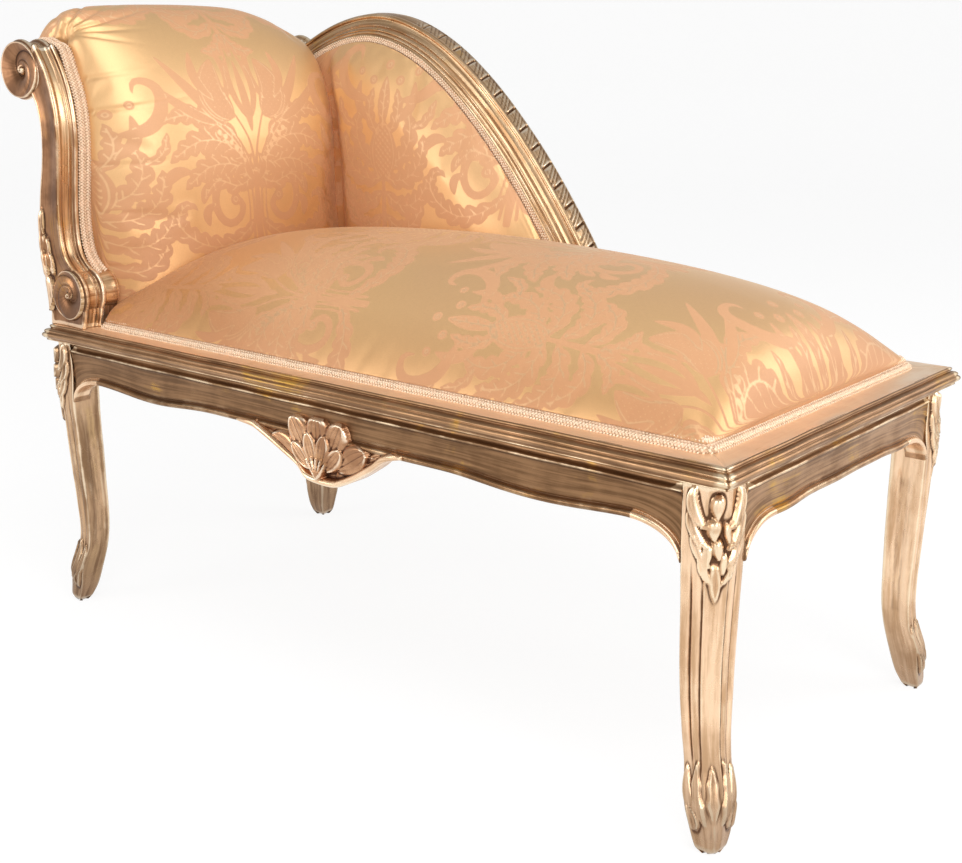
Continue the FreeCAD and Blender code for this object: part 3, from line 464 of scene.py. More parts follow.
def swept_board(name, node, half_run, half_out, along_x, side):
    """Board on that side of the frame: half_run is half its length, and half_out is how far out its edge is."""
    edge = smooth_curve([(u * mm, z * mm) for u, z in board_section], edge_points)
    under = [(u, board_base - seat_top) for u in np.linspace(0.0, -board_width, 7)]
    top = [(u, 0.0) for u in np.linspace(-board_width, -2.0 * mm, 9)]
    section = np.array(list(edge) + under + top)
    rings = []
    for t in np.linspace(-1, 1, int(half_run / board_step)):
        run = t * (half_run + section[:, 0])
        out = side * (half_out + section[:, 0])
        height = seat_top + section[:, 1]
        if along_x:
            rings.append(np.stack([middle_x + run, out, height], axis=-1))
        else:
            rings.append(np.stack([middle_x + out, run, height], axis=-1))
    rings = np.array(rings)
    rings[:, :edge_points] = uneven(rings, 0.35 * mm, 0.11)[:, :edge_points]
    piece = placed(name, skin(name, rings), gold_dark, [node])
    # Faces that look straight up take the lighter copy: painted light on the board's top.
    picked_out(piece, gold_top_lit, lambda face: face.normal.z > 0.98 and face.center.z > seat_top - 0.5 * mm)


half_length = 0.5 * (foot_edge - head_edge)
half_depth = 0.5 * (back_edge - front_edge)
swept_board("margin_front", "front_margin_board", half_length, half_depth, True, -1)
swept_board("margin_back", "back_margin_board", half_length, half_depth, True, 1)
swept_board("margin_foot", "foot_margin_board", half_depth, half_length, False, 1)
swept_board("margin_head", "head_margin_board", half_depth, half_length, False, -1)
print("boards", round(2 * half_length, 3), round(2 * half_depth, 3))

# %% [markdown]
# Each rail has a cove under the board, a broad band, and a bead along its lower edge, which hangs a little on either
# side of the middle. Near a leg it turns down in a curve and is gilded as bright as the leg it seems to grow out of.
# A Boolean could saw that curve out of a board, but a section that is drawn lower there keeps the bead along it.

# %% Rails
rail_height = 54 * mm
rail_thickness = 26 * mm
rail_setback = 3 * mm
ear_drop = 40 * mm
ear_length = 74 * mm
belly_drop = 0.0065  # as a share of the rail's length
rail_step = 4.0 * mm
gilded_ear = 0.85 * ear_length
# Faces of the section on the bead and under it, which are gilded near the legs.
ear_first, ear_last = 37, 63
cove_section = [(0.5, 0.0), (-2.4, -1.0), (-4.6, -3.4), (-4.8, -6.6), (-3.2, -9.4), (-0.4, -11.2), (0.6, -12.2),
                (0.8, -13.6), (0.2, -14.6), (-1.6, -15.2)]
bead_section = [(-2.4, 10.5), (-3.4, 9.0), (-1.6, 7.9), (1.2, 7.0), (2.6, 4.8), (2.5, 2.4), (0.8, 0.4),
                (-1.6, 0.0)]


def lower_edge(t, length):
    """How far the lower edge hangs down at distance t from the rail's middle."""
    near = np.clip(1 - (0.5 * length - abs(t)) / ear_length, 0, 1)
    belly = math.sin(math.pi * np.clip((abs(t) / length - 0.19) / 0.26, 0, 1)) ** 2
    return ear_drop * (1 - math.sqrt(1 - 0.985 * near ** 2.4)) + belly_drop * belly * length


def swept_rail(name, node, length, face, turn_to, centre, finish):
    """Rail of that length whose moulded face is at distance face from the centre, towards turn_to."""
    cove = smooth_curve([(v * mm, z * mm) for v, z in cove_section], 26)
    bead = smooth_curve([(v * mm, z * mm) for v, z in bead_section], 22)
    rings = []
    side = Vector((-turn_to[1], turn_to[0]))
    for t in np.linspace(-0.5 * length, 0.5 * length, int(length / rail_step)):
        low = board_base - rail_height - lower_edge(t, length)
        upper = [(v, board_base + z) for v, z in cove]
        lower = [(v, low + z) for v, z in bead]
        band_top, band_low = upper[-1], lower[0]
        band = [(band_top[0] * (1 - s) + band_low[0] * s - 0.9 * mm * math.sin(math.pi * s),
                 band_top[1] * (1 - s) + band_low[1] * s) for s in np.linspace(0, 1, 12)[1:-1]]
        under = [(v * mm, low) for v in (-5.0, -9.0, -13.0, -17.0, -21.5)]
        back = [(-rail_thickness, z) for z in (low, 0.5 * (low + board_base), board_base)]
        section = np.array(upper + band + lower + under + back)
        out = face + section[:, 0]
        x = centre[0] + turn_to[0] * out + side[0] * t
        y = centre[1] + turn_to[1] * out + side[1] * t
        rings.append(np.stack([x, y, section[:, 1]], axis=-1))
    rings = uneven(rings, 0.35 * mm, 0.09)
    piece = placed(name, skin(name, rings), finish, [node])
    spans, around = len(rings) - 1, rings.shape[1]
    reach = int(gilded_ear / rail_step)

    def on_ear(polygon):
        """Whether a face is on the lower edge near either end. Faces are numbered ring by ring."""
        span, part = divmod(polygon.index, around)
        return (span < reach or spans - reach <= span < spans) and ear_first <= part <= ear_last

    picked_out(piece, gold, on_ear)


front_rail_low, front_rail_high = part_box("front_rail")
tenon = 22 * mm
rail_length = front_rail_high.x - front_rail_low.x - 2 * tenon
rail_centre = 0.5 * (front_rail_high.x + front_rail_low.x)
# The front and back rails take the darker copy, painted shade on faces that look front and back; the foot and head
# rails take the brown one.
swept_rail("rail_front", "front_rail", rail_length, -front_edge - rail_setback, (0, -1), (rail_centre, 0),
           gold_rail_shaded)
swept_rail("rail_back", "back_rail", rail_length, back_edge - rail_setback, (0, 1), (rail_centre, 0), gold_rail_shaded)
foot_rail_low, foot_rail_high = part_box("foot_rail")
end_length = foot_rail_high.y - foot_rail_low.y - 2 * tenon
swept_rail("rail_foot", "foot_rail", end_length, foot_edge - rail_setback, (1, 0), (0, 0), gold_dark)
head_face = -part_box("head_rail")[0].x - 2.5 * mm
swept_rail("rail_head", "head_rail", end_length, head_face, (-1, 0), (0, 0), gold_dark)
print("rails", round(rail_length, 3), round(end_length, 3))

# %% [markdown]
# Carving is built from leaves. A leaf has a curved spine from its root to its tip, swells and tapers, may be cupped
# like a spoon, and has a vein. Where leaves overlap, the highest wins, as it does under a carver's gouge.
# Sculpting by hand would be freer, but heights worked out in code come out the same on all four legs.

# %% Carved leaves
vein_width = 0.9 * mm
off_leaf = -0.4 * mm


def leaf(u, v, root, tip, width, height, bend=0.0, cup=0.0, vein=0.0, lobes=0, full=0.8):
    """Height of one leaf at the points u, v, and a small negative number outside it."""
    du, dv = tip[0] - root[0], tip[1] - root[1]
    length = math.hypot(du, dv)
    s = ((u - root[0]) * du + (v - root[1]) * dv) / length ** 2
    across = (-(u - root[0]) * dv + (v - root[1]) * du) / length
    inside = (s > 0) & (s < 1)
    s = np.clip(s, 0.0001, 0.9999)
    across = across - bend * length * 4 * s * (1 - s)
    half = 0.5 * width * np.sin(math.pi * s ** full) ** 0.6
    if lobes:
        half = half * (1 - 0.22 * np.abs(np.sin(math.pi * lobes * s)))
    k = np.abs(across) / np.maximum(half, 1e-6)
    body = np.clip(1 - k ** 2, 0, 1) ** 0.62
    rim = np.clip(1 - ((k - 0.70) / 0.30) ** 2, 0, 1) ** 0.7
    shape = (1 - cup) * body + cup * (0.2 * body + 0.8 * rim)
    rise = height * shape * np.minimum(1, 5 * s) ** 0.5
    rise = rise - vein * np.exp(-(across / vein_width) ** 2) * (body > 0)
    return np.where(inside & (k < 1), rise, off_leaf)


def carved(u, v, leaves):
    """Greatest height of the leaves at each point. Each leaf is a row of leaf()'s values after u and v."""
    heights = [leaf(u, v, *row[:4], **(row[4] if len(row) > 4 else {})) for row in leaves]
    return np.maximum(np.max(heights, axis=0), 0)


def both_sides(rows):
    """The rows, and each row that stands off the middle mirrored to the other side."""
    made = list(rows)
    for row in rows:
        root, tip = row[0], row[1]
        if abs(root[0]) + abs(tip[0]) > 1e-9:
            extra = dict(row[4]) if len(row) > 4 else {}
            extra["bend"] = -extra.get("bend", 0.0)
            made.append(((-root[0], root[1]), (-tip[0], tip[1]), row[2], row[3], extra))
    return made


print("a leaf 20 mm long and 4 mm high rises to",
      round(float(leaf(np.array([0.0]), np.array([0.010]), (0, 0), (0, 0.020), 0.01, 0.004)[0]), 4))

# %% [markdown]
# A cabriole leg curves out at the knee, in at the shin and out again at the toe. Its section is a square whose
# outer corner is a broad rounded band, with a groove, a hollow and a bead on each face beside it. The knee carries
# a hanging flower and the toe a collar of leaves, both carved into the same skin. Leaves could be separate meshes
# pushed into the leg, but a carver cuts them from the same wood, and one skin has no seams round them.

# %% Profile and leaves of a leg
leg_block = 46 * mm
leg_inset_x = 27 * mm
leg_inset_y = 26 * mm
head_leg_shift = 12 * mm
# Each row is a share of the height, the section's size, and how far it stands in along x and along y in mm.
leg_rows = [(0.00, 0.40, -19.0, -11.0), (0.02, 0.54, -18.6, -10.4), (0.06, 0.69, -16.0, -7.0),
            (0.135, 0.84, -11.5, -4.0), (0.23, 0.79, -3.0, 4.0), (0.32, 0.82, 1.0, 5.0), (0.50, 0.90, 1.5, 2.0),
            (0.67, 0.95, 0.0, 0.0), (0.80, 1.0, -1.0, -1.0), (0.90, 1.0, 0.0, 0.0), (1.0, 1.0, 0.0, 0.0)]
knee_leaves = [
    ((0.001, -0.010), (0.003, -0.036), 0.015, 0.0085),
    ((0.004, -0.034), (0.006, -0.058), 0.016, 0.0095),
    ((0.002, -0.055), (0.000, -0.078), 0.013, 0.0080),
    ((-0.007, -0.040), (-0.011, -0.062), 0.009, 0.0060),
    ((0.009, -0.062), (0.011, -0.084), 0.010, 0.0055),
    ((-0.006, -0.070), (-0.005, -0.094), 0.010, 0.0055),
    ((0.003, -0.082), (0.001, -0.124), 0.013, 0.0045, {"cup": 0.3, "vein": 0.0010})]
knee_leaves += both_sides([
    ((0.027, -0.002), (0.009, -0.048), 0.015, 0.0075, {"cup": 0.4, "bend": 0.16}),
    ((0.030, -0.024), (0.009, -0.068), 0.013, 0.0065, {"cup": 0.5, "bend": 0.14}),
    ((0.026, -0.048), (0.006, -0.088), 0.012, 0.0055, {"cup": 0.5, "bend": 0.12}),
    ((0.016, -0.072), (0.004, -0.106), 0.010, 0.0045, {"cup": 0.3, "bend": 0.12}),
])
toe_leaves = both_sides([
    ((0.000, 0.040), (0.000, 0.096), 0.017, 0.0042, {"cup": 0.35, "vein": 0.0012, "lobes": 3}),
    ((0.010, 0.034), (0.015, 0.100), 0.014, 0.0045, {"cup": 0.4, "bend": -0.08, "lobes": 3}),
    ((0.019, 0.036), (0.029, 0.094), 0.013, 0.0042, {"cup": 0.4, "bend": -0.08}),
    ((0.026, 0.026), (0.030, 0.056), 0.016, 0.0058, {"cup": 0.6, "bend": 0.12}),
])
print("leaves on a leg", len(knee_leaves) + len(toe_leaves))

# %% Section of a leg
def leg_section(side, channel):
    """Outline of a leg along its two outer faces and back, and for each point its way out and its distance from the
    outer corner. channel is 0 to 1, how deep the grooves are."""
    half = 0.5 * side
    corner = 0.40 * side
    face = np.linspace(0, 1, 30)
    length = 2 * half - corner
    bead = np.sin(math.pi * np.clip(face / 0.40, 0, 1)) ** 0.8 * 1.6
    dip = np.exp(-((face - 0.45) / 0.06) ** 2) * 2.4 + np.exp(-((face - 0.93) / 0.07) ** 2) * 2.6
    hollow = -np.sin(math.pi * np.clip((face - 0.50) / 0.38, 0, 1)) * 0.9
    lift = (bead - dip - hollow) * mm * channel
    band = np.linspace(0, 1, 24)[1:-1]
    swell = np.sin(math.pi * band) ** 0.8 * (0.13 * corner)
    diag = math.sqrt(0.5)
    reach = corner * math.sqrt(0.5)
    points, ways, q = [], [], []
    for f, h in zip(face, lift):
        points.append((half, -half + f * length))
        ways.append((1, 0, h))
        q.append(-(1 - f) * length - reach)
    for g, h in zip(band, swell):
        points.append((half - g * corner, half - corner + g * corner))
        ways.append((diag, diag, h))
        q.append((g - 0.5) * 2 * reach)
    for f, h in zip(face[::-1], lift[::-1]):
        points.append((-half + f * length, half))
        ways.append((0, 1, h))
        q.append((1 - f) * length + reach)
    inner = np.linspace(0, 1, 26)[1:-1]
    groove = -2.2 * mm * channel * np.exp(-((inner - 0.5) / 0.2) ** 4)
    for t, h in zip(inner, groove):
        points.append((-half, half * (1 - 2 * t)))
        ways.append((-1, 0, h))
        q.append(1.0)
    for t, h in zip(inner, groove):
        points.append((-half * (1 - 2 * t), -half))
        ways.append((0, -1, h))
        q.append(1.0)
    return np.array(points), np.array(ways), np.array(q)


print("points round a leg", len(leg_section(leg_block, 1.0)[0]))

# %% Legs
def carved_leg(name, node, side_x, side_y):
    """Leg at the corner on those sides, 1 or -1 along x and along y."""
    shift = head_leg_shift if side_x < 0 else 0.0
    base_x = 0.5 * (foot_edge - head_edge) - leg_inset_x + shift
    base_y = back_edge - leg_inset_y
    height = board_base
    rings = []
    for z in np.linspace(0.0, height, 190):
        scale, in_x, in_y = eased(leg_rows, z / height)
        channel = np.clip((z - 0.085) / 0.03, 0, 1) * np.clip((height - 0.075 - z) / 0.05, 0, 1)
        points, ways, q = leg_section(scale * leg_block, channel)
        lift = ways[:, 2].copy()
        outer = np.abs(q) < 0.5
        spread = 1.0 if z > 0.2 else 0.039 / (scale * leg_block)
        if z > height - 0.13:
            lift[outer] += carved(q[outer], np.full(outer.sum(), z - height), knee_leaves)
        if z < 0.11:
            lift[outer] += carved(q[outer] * spread, np.full(outer.sum(), z), toe_leaves)
            ridge = 0.0022 * np.exp(-(q[outer] / 0.0022) ** 2)
            lift[outer] += ridge * np.clip(z / 0.01, 0, 1) * np.clip((0.05 - z) / 0.02, 0, 1)
        round_off = 0.004 * np.clip(1 - z / 0.008, 0, 1) ** 2
        a = points[:, 0] + ways[:, 0] * (lift - round_off)
        b = points[:, 1] + ways[:, 1] * (lift - round_off)
        x = middle_x + side_x * (base_x - in_x * mm + a)
        y = side_y * (base_y - in_y * mm + b)
        rings.append(np.stack([x, y, np.full(len(x), z)], axis=-1))
    rings = uneven(rings, 0.5 * mm, 0.06)
    rings[:, :, 2] = np.maximum(rings[:, :, 2], 0.0)
    # The legs at the head end take the darker copy: painted shade.
    return placed(name, skin(name, rings), gold_head_legs_shaded if side_x < 0 else gold, [node])


for end, side_x in (("left", -1), ("right", 1)):
    for side, side_y in (("front", -1), ("back", 1)):
        carved_leg(f"leg_{side}_{end}", f"{side}_{end}_leg", side_x, side_y)
print("legs", round(board_base, 3), "high")

# %% [markdown]
# The shell under the front rail is a fan of overlapping spoon-shaped petals over a ribbed stem, with a rim below
# that grows out of the rail's bead on both sides. Petals made one by one would leave slits between them, so the
# shell is skinned column by column over one map of heights, and its petals are leaves again.

# %% Outline and petals of the shell
shell_low, shell_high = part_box("front_shell_carving")
shell_middle = 0.5 * (shell_low.x + shell_high.x)
rail_base = board_base - rail_height
rail_face = front_edge + rail_setback
shell_under = [(-136, 1), (-107, -2), (-94, -7), (-76, -15), (-49, -28), (-26, -40), (-16, -51), (-8, -54.5),
               (10, -56), (30, -55.5), (40, -53.5), (55, -47), (74, -37), (98, -22), (115, -9), (128, -3), (148, 2)]
shell_over = [(-136, 5), (-104, 8), (-78, 22), (-46, 26), (-14, 28), (16, 29), (45, 28), (70, 25), (91, 19),
              (112, 11), (148, 6)]
shell_front_points = 84
shell_back_points = 8
shell_rim = 8.5 * mm
fan_x, fan_z = 9 * mm, -49 * mm


def fan_leaf(degrees, start, end, width, height, **extra):
    """Leaf that leaves the stem of the fan in that direction, between two distances."""
    way = math.radians(degrees)
    root = (fan_x + start * mm * math.sin(way), fan_z + start * mm * math.cos(way))
    tip = (fan_x + end * mm * math.sin(way), fan_z + end * mm * math.cos(way))
    return (root, tip, width * mm, height * mm, dict({"full": 1.35}, **extra))


shell_leaves = [fan_leaf(a, 30, r, 41, 9.5, cup=0.30, vein=1.2 * mm)
                for a, r in ((-62, 94), (-32, 88), (-2, 82), (28, 86), (59, 94))]
shell_leaves += [fan_leaf(a, 14, 60, 29, 13.0, cup=0.30, vein=1.0 * mm) for a in (-46, -16, 13, 43)]
shell_leaves += [fan_leaf(a, -6, 30, 7, 13.0, full=1.0) for a in (-34, -17, 0, 17, 34)]
shell_leaves += [
    ((34 * mm, -46 * mm), (104 * mm, -6 * mm), 24 * mm, 5.0 * mm, {"cup": 0.7, "bend": 0.07}),
    ((-44 * mm, -14 * mm), (-122 * mm, 4 * mm), 20 * mm, 5.0 * mm, {"cup": 0.5, "vein": 1 * mm, "bend": 0.06}),
    ((84 * mm, -16 * mm), (140 * mm, 4 * mm), 16 * mm, 4.0 * mm, {"cup": 0.5, "vein": 1 * mm, "bend": 0.05})]
print("petals and leaves of the shell", len(shell_leaves))

# %% Shell
def shell_height(u, low, high, v):
    """How far the carving stands off the rail's face at u, v."""
    above = v - low
    rim = 7.5 * mm * np.sqrt(np.clip(1 - ((above - 5.0 * mm) / (5.5 * mm)) ** 2, 0, 1))
    leaves = carved(u, v, shell_leaves)
    edge = np.clip((high - v) / (3.0 * mm), 0, 1)
    height = np.where((leaves < 0.4 * mm) & (v > 2 * mm), -6.0 * mm, -1.4 * mm + leaves * edge)
    height = np.maximum(height, np.where(above < 10.5 * mm, 1.0 * mm + rim, -6 * mm))
    return height - 3.0 * mm * np.exp(-(above / (0.8 * mm)) ** 2)


def shell_rings():
    """Columns of the shell from left to right, each closed behind."""
    around = shell_front_points + shell_back_points
    rings = []
    for u in np.arange(-136, 148.1, 1.3) * mm:
        low = eased(np.array(shell_under) * mm, u)[0]
        high = max(eased(np.array(shell_over) * mm, u)[0], low + 3 * mm)
        v = np.linspace(high, low, shell_front_points)
        out = shell_height(np.full(shell_front_points, u), low, high, v)
        back = np.linspace(low + 0.6 * mm, high - 0.6 * mm, shell_back_points)
        z = np.concatenate([v, back]) + rail_base
        y = np.concatenate([rail_face - out, np.full(shell_back_points, rail_face + 20 * mm)])
        rings.append(np.stack([np.full(around, shell_middle + u), y, z], axis=-1))
    return uneven(rings, 0.5 * mm, 0.05)


shell = placed("shell", skin("shell", shell_rings()), gold_copper, ["front_shell_carving"])
under_x, under_z = np.array(shell_under).T * mm
picked_out(shell, gold, lambda face: face.center.z - rail_base
           - np.interp(face.center.x - shell_middle, under_x, under_z) < shell_rim)
print("shell", round(shell_low.x, 3), round(shell_high.x, 3))

# %% [markdown]
# The two stiles at the head end are S-shaped. Their show face has a bead, a hollow with a fine ridge and a second
# bead, and it rolls over into a volute at the top and round another at the foot. The stem is a row of sections,
# and each volute is a turned disc whose face carries a spiral. A Screw modifier would wind a volute like a rope,
# while a real one is cut into the face of a block.

# %% Curves of the stiles
stile_low, stile_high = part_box("head_stile_front")
stile_rise = 394 * mm
stile_depth = stile_high.y - stile_low.y
stile_steps = 170
side_points = 36
# The front and rear curves are mm from the head's edge and shares of the rise. The face is mm along y and outwards.
stile_fore = [(70, 0.0), (77, 0.12), (64, 0.19), (40, 0.25), (33, 0.32), (37, 0.50), (45, 0.72), (38, 0.83),
              (25, 0.91), (6, 0.985)]
stile_aft = [(-4, 0.0), (-2, 0.12), (-10, 0.28), (-5, 0.46), (6, 0.58), (11, 0.69), (4, 0.78), (-14, 0.85)]
stile_face = [(0.0, -1.6), (0.6, -0.4), (2.2, 1.0), (4.6, 1.7), (7.0, 1.0), (8.6, -0.6), (9.2, -1.9), (10.0, -2.6),
              (15.0, -3.6), (20.0, -3.2), (21.4, -2.6), (22.2, -1.9), (23.0, -2.6), (24.4, -3.0), (27.0, -2.6),
              (28.2, -1.6), (29.0, -0.2), (30.6, 1.1), (32.6, 1.4), (34.6, 0.6), (35.8, -0.9), (36.4, -3.8),
              (40.0, -4.0), (61.0, -4.0), (62.0, -4.6)]
husk_leaves = [((0.006, 0.172), (0.004, 0.120), 0.010, 0.0050, {"cup": 0.2}),
               ((0.006, 0.135), (0.004, 0.098), 0.013, 0.0060, {"cup": 0.3}),
               ((0.012, 0.128), (0.014, 0.096), 0.010, 0.0045, {"cup": 0.3}),
               ((0.006, 0.108), (0.004, 0.072), 0.015, 0.0065, {"cup": 0.35}),
               ((0.014, 0.106), (0.017, 0.074), 0.011, 0.0050, {"cup": 0.35}),
               ((0.005, 0.078), (0.002, 0.020), 0.018, 0.0060, {"cup": 0.3, "bend": 0.05})]


def up_stile(rows, count):
    """Smooth curve in the XZ plane through rows given in mm from the head's edge and shares of the stile's rise."""
    return smooth_curve([(head_edge + x * mm, seat_top + s * stile_rise) for x, s in rows], count)


print("stiles rise", stile_rise, "and are", round(stile_depth, 4), "deep")

# %% Stem and volutes
def stile_stem(mirror):
    """Sections of a stile from its foot up. mirror is 1 for the rear stile and -1 for the front one."""
    fore = up_stile(stile_fore, stile_steps)
    aft = up_stile(stile_aft, stile_steps)
    profile = smooth_curve([(y * mm, h * mm) for y, h in stile_face], 66)
    side = np.linspace(0, 1, side_points)
    cove = 0.9 * mm * np.exp(-((side - 0.07) / 0.05) ** 2) - 2.4 * mm * np.sin(math.pi * side) ** 1.5
    cove -= 1.2 * mm * (np.exp(-(side / 0.02) ** 2) + np.exp(-((1 - side) / 0.02) ** 2))
    rings = []
    for f, b in zip(fore, aft):
        way = (f - b) / np.linalg.norm(f - b)
        front = [(f + way * h, y) for y, h in profile]
        inner = [(f + (b - f) * s - way * 4 * mm * (1 - s), stile_depth) for s in (0.2, 0.5, 0.8)]
        rear = [(b - way * 1.2 * mm * math.sin(math.pi * s), stile_depth * (1 - s))
                for s in np.linspace(0, 1, 9)[:-1]]
        width = np.linalg.norm(f - b)
        lift = cove + carved(side * width, np.full(side_points, 0.5 * (f[1] + b[1]) - seat_top), husk_leaves)
        outer = [(b + (f - b) * s, -h) for s, h in zip(side, lift)]
        rings.append([(p[0], mirror * (-stile_low.y - y), p[1]) for p, y in front + inner + rear + outer[:-1]])
    return uneven(rings, 0.4 * mm, 0.07)


def volute(mirror, out, up, radius, turn, start, narrowing, sink):
    """Turned disc with a moulded rim, whose face is a spiral band that winds in to a sunk eye. Its centre is out
    from the head's edge and up from the seat. turn is 1 or -1, and start the angle where the band begins."""
    profile = smooth_curve([(y * mm, h * mm) for y, h in stile_face], 60)
    angle = np.linspace(0, 2 * math.pi, 150, endpoint=False)
    rings = []
    for r in np.linspace(0.8 * mm, radius - 1.5 * mm, 44):
        turns = (np.log(radius / r) / narrowing + turn * (angle - start)) / (2 * math.pi)
        part = turns - np.floor(turns)
        lift = 6.5 * mm * np.sin(math.pi * part) ** 0.6 - 1.3 * mm * np.exp(-((part - 0.30) / 0.05) ** 2)
        lift += -0.5 * mm - sink * (1 - r / radius) ** 1.2
        lift += 4.5 * mm * math.exp(-(r / (6.0 * mm)) ** 4)
        rings.append([(r * math.cos(a), -h, r * math.sin(a)) for a, h in zip(angle, lift)])
    for y, h in profile:
        rings.append([((radius + h) * math.cos(a), y, (radius + h) * math.sin(a)) for a in angle])
    for r in np.linspace(radius - 6 * mm, 1 * mm, 6):
        rings.append([(r * math.cos(a), stile_depth, r * math.sin(a)) for a in angle])
    rings = np.array(rings)
    x = rings[..., 0] + (head_edge + out)
    z = rings[..., 2] + (seat_top + up)
    return uneven(np.stack([x, mirror * (-stile_low.y - rings[..., 1]), z], axis=-1), 0.35 * mm, 0.05)


print("points up a stem", len(stile_stem(1)))

# %% Stiles
def joined(name, meshes):
    """One mesh from several, with their UV maps and attributes."""
    holder = bmesh.new()
    for mesh in meshes:
        holder.from_mesh(mesh)
    whole = bpy.data.meshes.new(name)
    holder.to_mesh(whole)
    holder.free()
    for mesh in meshes:
        bpy.data.meshes.remove(mesh)
    shaded(whole)
    return whole


for name, node, mirror in (("stile_front", "head_stile_front", -1), ("stile_rear", "head_stile_rear", 1)):
    top = volute(mirror, out=-25 * mm, up=0.9 * stile_rise, radius=39.5 * mm, turn=-1, start=0.1, narrowing=0.33,
                 sink=9 * mm)
    foot = volute(mirror, out=47 * mm, up=47 * mm, radius=36 * mm, turn=1, start=2.6, narrowing=0.33, sink=5 * mm)
    stem = skin(name + "_stem", stile_stem(mirror))
    mesh = joined(name, [stem, skin(name + "_top", top), skin(name + "_foot", foot)])
    stile = placed(name, mesh, gold_light, [node])
    # Faces that look out to the side or towards the head take the darker umber copy: painted shade.
    picked_out(stile, gold_umber_shaded, lambda face: face.normal.y * mirror > 0.55 or face.normal.x < -0.5)
print("stiles", round(stile_high.z, 3))

# %% [markdown]
# The crest rail of the back panel is one moulding swept along an arch. Its face slopes towards the upholstery.
# Its outer edge is carved as a ribbon wound on reeds: a deep cut across, then three slanted grooves.
# An Array along a curve could repeat the ribbon as separate beads, but cut into the swept section it is one surface.

# %% Arch of the crest rail
crest_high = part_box("back_crest_rail")[1]
arch_run = 635 * mm
arch_rise = 427 * mm
crest_edge = 241 * mm
crest_behind = 264 * mm
carved_from = 255 * mm
ribbon_pitch = 34 * mm
# The arch is given as shares of its run and rise. The face is mm in from the outer edge and mm along y.
arch_shape = [(0.0, 0.88), (0.126, 0.963), (0.291, 1.0), (0.446, 0.934), (0.646, 0.714), (0.828, 0.398), (1.0, 0.0)]
crest_face = [(0.2, 241.0), (0.0, 238.0), (1.6, 235.4), (4.2, 234.4), (5.6, 235.2), (6.2, 236.6), (7.2, 236.8),
              (9.0, 236.4), (13.0, 234.8), (16.4, 231.6), (17.4, 230.8), (18.0, 231.4), (18.8, 229.4), (20.4, 226.0),
              (22.4, 224.4), (24.2, 224.2), (25.0, 224.8), (25.8, 222.6), (27.4, 220.4), (28.4, 220.2), (29.0, 220.8),
              (30.0, 218.8), (32.0, 216.6), (33.6, 216.0), (34.2, 217.6), (34.6, 219.4)]
arch_outer = smooth_curve([(head_edge + a * arch_run, seat_top + b * arch_rise) for a, b in arch_shape], 620)


def arch_normals(points):
    """Unit vectors square to a path in the XZ plane, towards its inside."""
    way = np.gradient(points, axis=0)
    way /= np.linalg.norm(way, axis=1)[:, None]
    return np.stack([way[:, 1], -way[:, 0]], axis=1)


print("arch", round(float(running(arch_outer)[-1]), 3), "m long")

# %% Crest rail
def reeded(run, across):
    """Depth of the ribbon-and-reed carving, along the edge and across it from -1 to 1."""
    place = (run + 5 * mm * across) / ribbon_pitch
    part = place - np.floor(place)
    slant = (run + 13 * mm * across) / ribbon_pitch
    fine = slant - np.floor(slant)
    depth = 4.2 * mm * np.exp(-((part - 0.06) / 0.05) ** 2)
    for k in (0.36, 0.60, 0.82):
        depth += 1.5 * mm * np.exp(-((fine - k) / 0.035) ** 2)
    return depth + 0.7 * mm * (1 - np.sin(math.pi * part))


def crest_rings():
    """Sections along the arch: its carved edge, its moulded face, and the step behind for the upholstery."""
    face = smooth_curve([(s * mm, y * mm) for s, y in crest_face], 84)
    back_y = crest_high.y
    middle_y, half = 0.5 * (back_y + crest_edge), 0.5 * (back_y - crest_edge)
    across = np.linspace(1, -1, 22)
    rings = []
    for p, n, length in zip(arch_outer, arch_normals(arch_outer), running(arch_outer)):
        depth = reeded(length, across) * np.clip((length - carved_from) / (12 * mm), 0, 1)
        depth = depth * np.clip((1 - np.abs(across)) / 0.12, 0, 1) - 1.6 * mm * (1 - across ** 2)
        section = [(d, middle_y + half * a) for d, a in zip(depth, across)]
        section += [(s, y) for s, y in face[1:]]
        section += [(42 * mm, 219 * mm), (50 * mm, 219 * mm), (50 * mm, 243 * mm), (50 * mm, 265.0 * mm)]
        section += [(s * mm, 267 * mm) for s in (47, 45, 43)] + [(s * mm, back_y) for s in np.linspace(40, 1.5, 18)]
        rings.append([(p[0] + n[0] * s, y, p[1] + n[1] * s) for s, y in section])
    rings = uneven(rings, 0.4 * mm, 0.09)
    rings[..., 2] = np.maximum(rings[..., 2], seat_top - 4 * mm)
    return rings


crest = placed("crest", skin("crest", crest_rings()), gold_light, ["back_crest_rail"])
picked_out(crest, gold_dark, lambda face: face.center.y > crest_behind or face.normal.x < -0.75)
print("crest", round(crest_high.z, 3))

# %% [markdown]
# Gimp is a woven braid that hides the tacks: two plaited ribs between looped edges. A bump map would lose it at the
# braid's edge. Each knot is the same small bead, so Geometry Nodes put one on every point of a net that is laid
# along the braid's path, over a plain band.

# %% Threads of the braid
def braid_finish(name, low, high):
    """Thread that varies between two colours, with paler worn patches."""
    material, tree, shader, place, along = new_finish(name)
    speck = noise(tree, place, 700.0, 3.0)
    patch = noise(tree, place, 60.0, 3.0)
    colour = blended(tree, graded(tree, speck, 0.36, 0.62), low, high)
    colour = blended(tree, graded(tree, patch, 0.4, 0.65, 0.0, 0.25), colour, (0.98, 0.66, 0.46, 1))
    tree.links.new(colour, shader.inputs["Base Color"])
    set_values(shader, Roughness=0.62, Sheen_Weight=0.35, Sheen_Tint=(1.0, 0.86, 0.68, 1))
    set_bump(tree, shader, speck, 0.4 * mm, 0.6)
    return material


thread = braid_finish("braid", (0.76, 0.55, 0.375, 1), (0.97, 0.79, 0.60, 1))
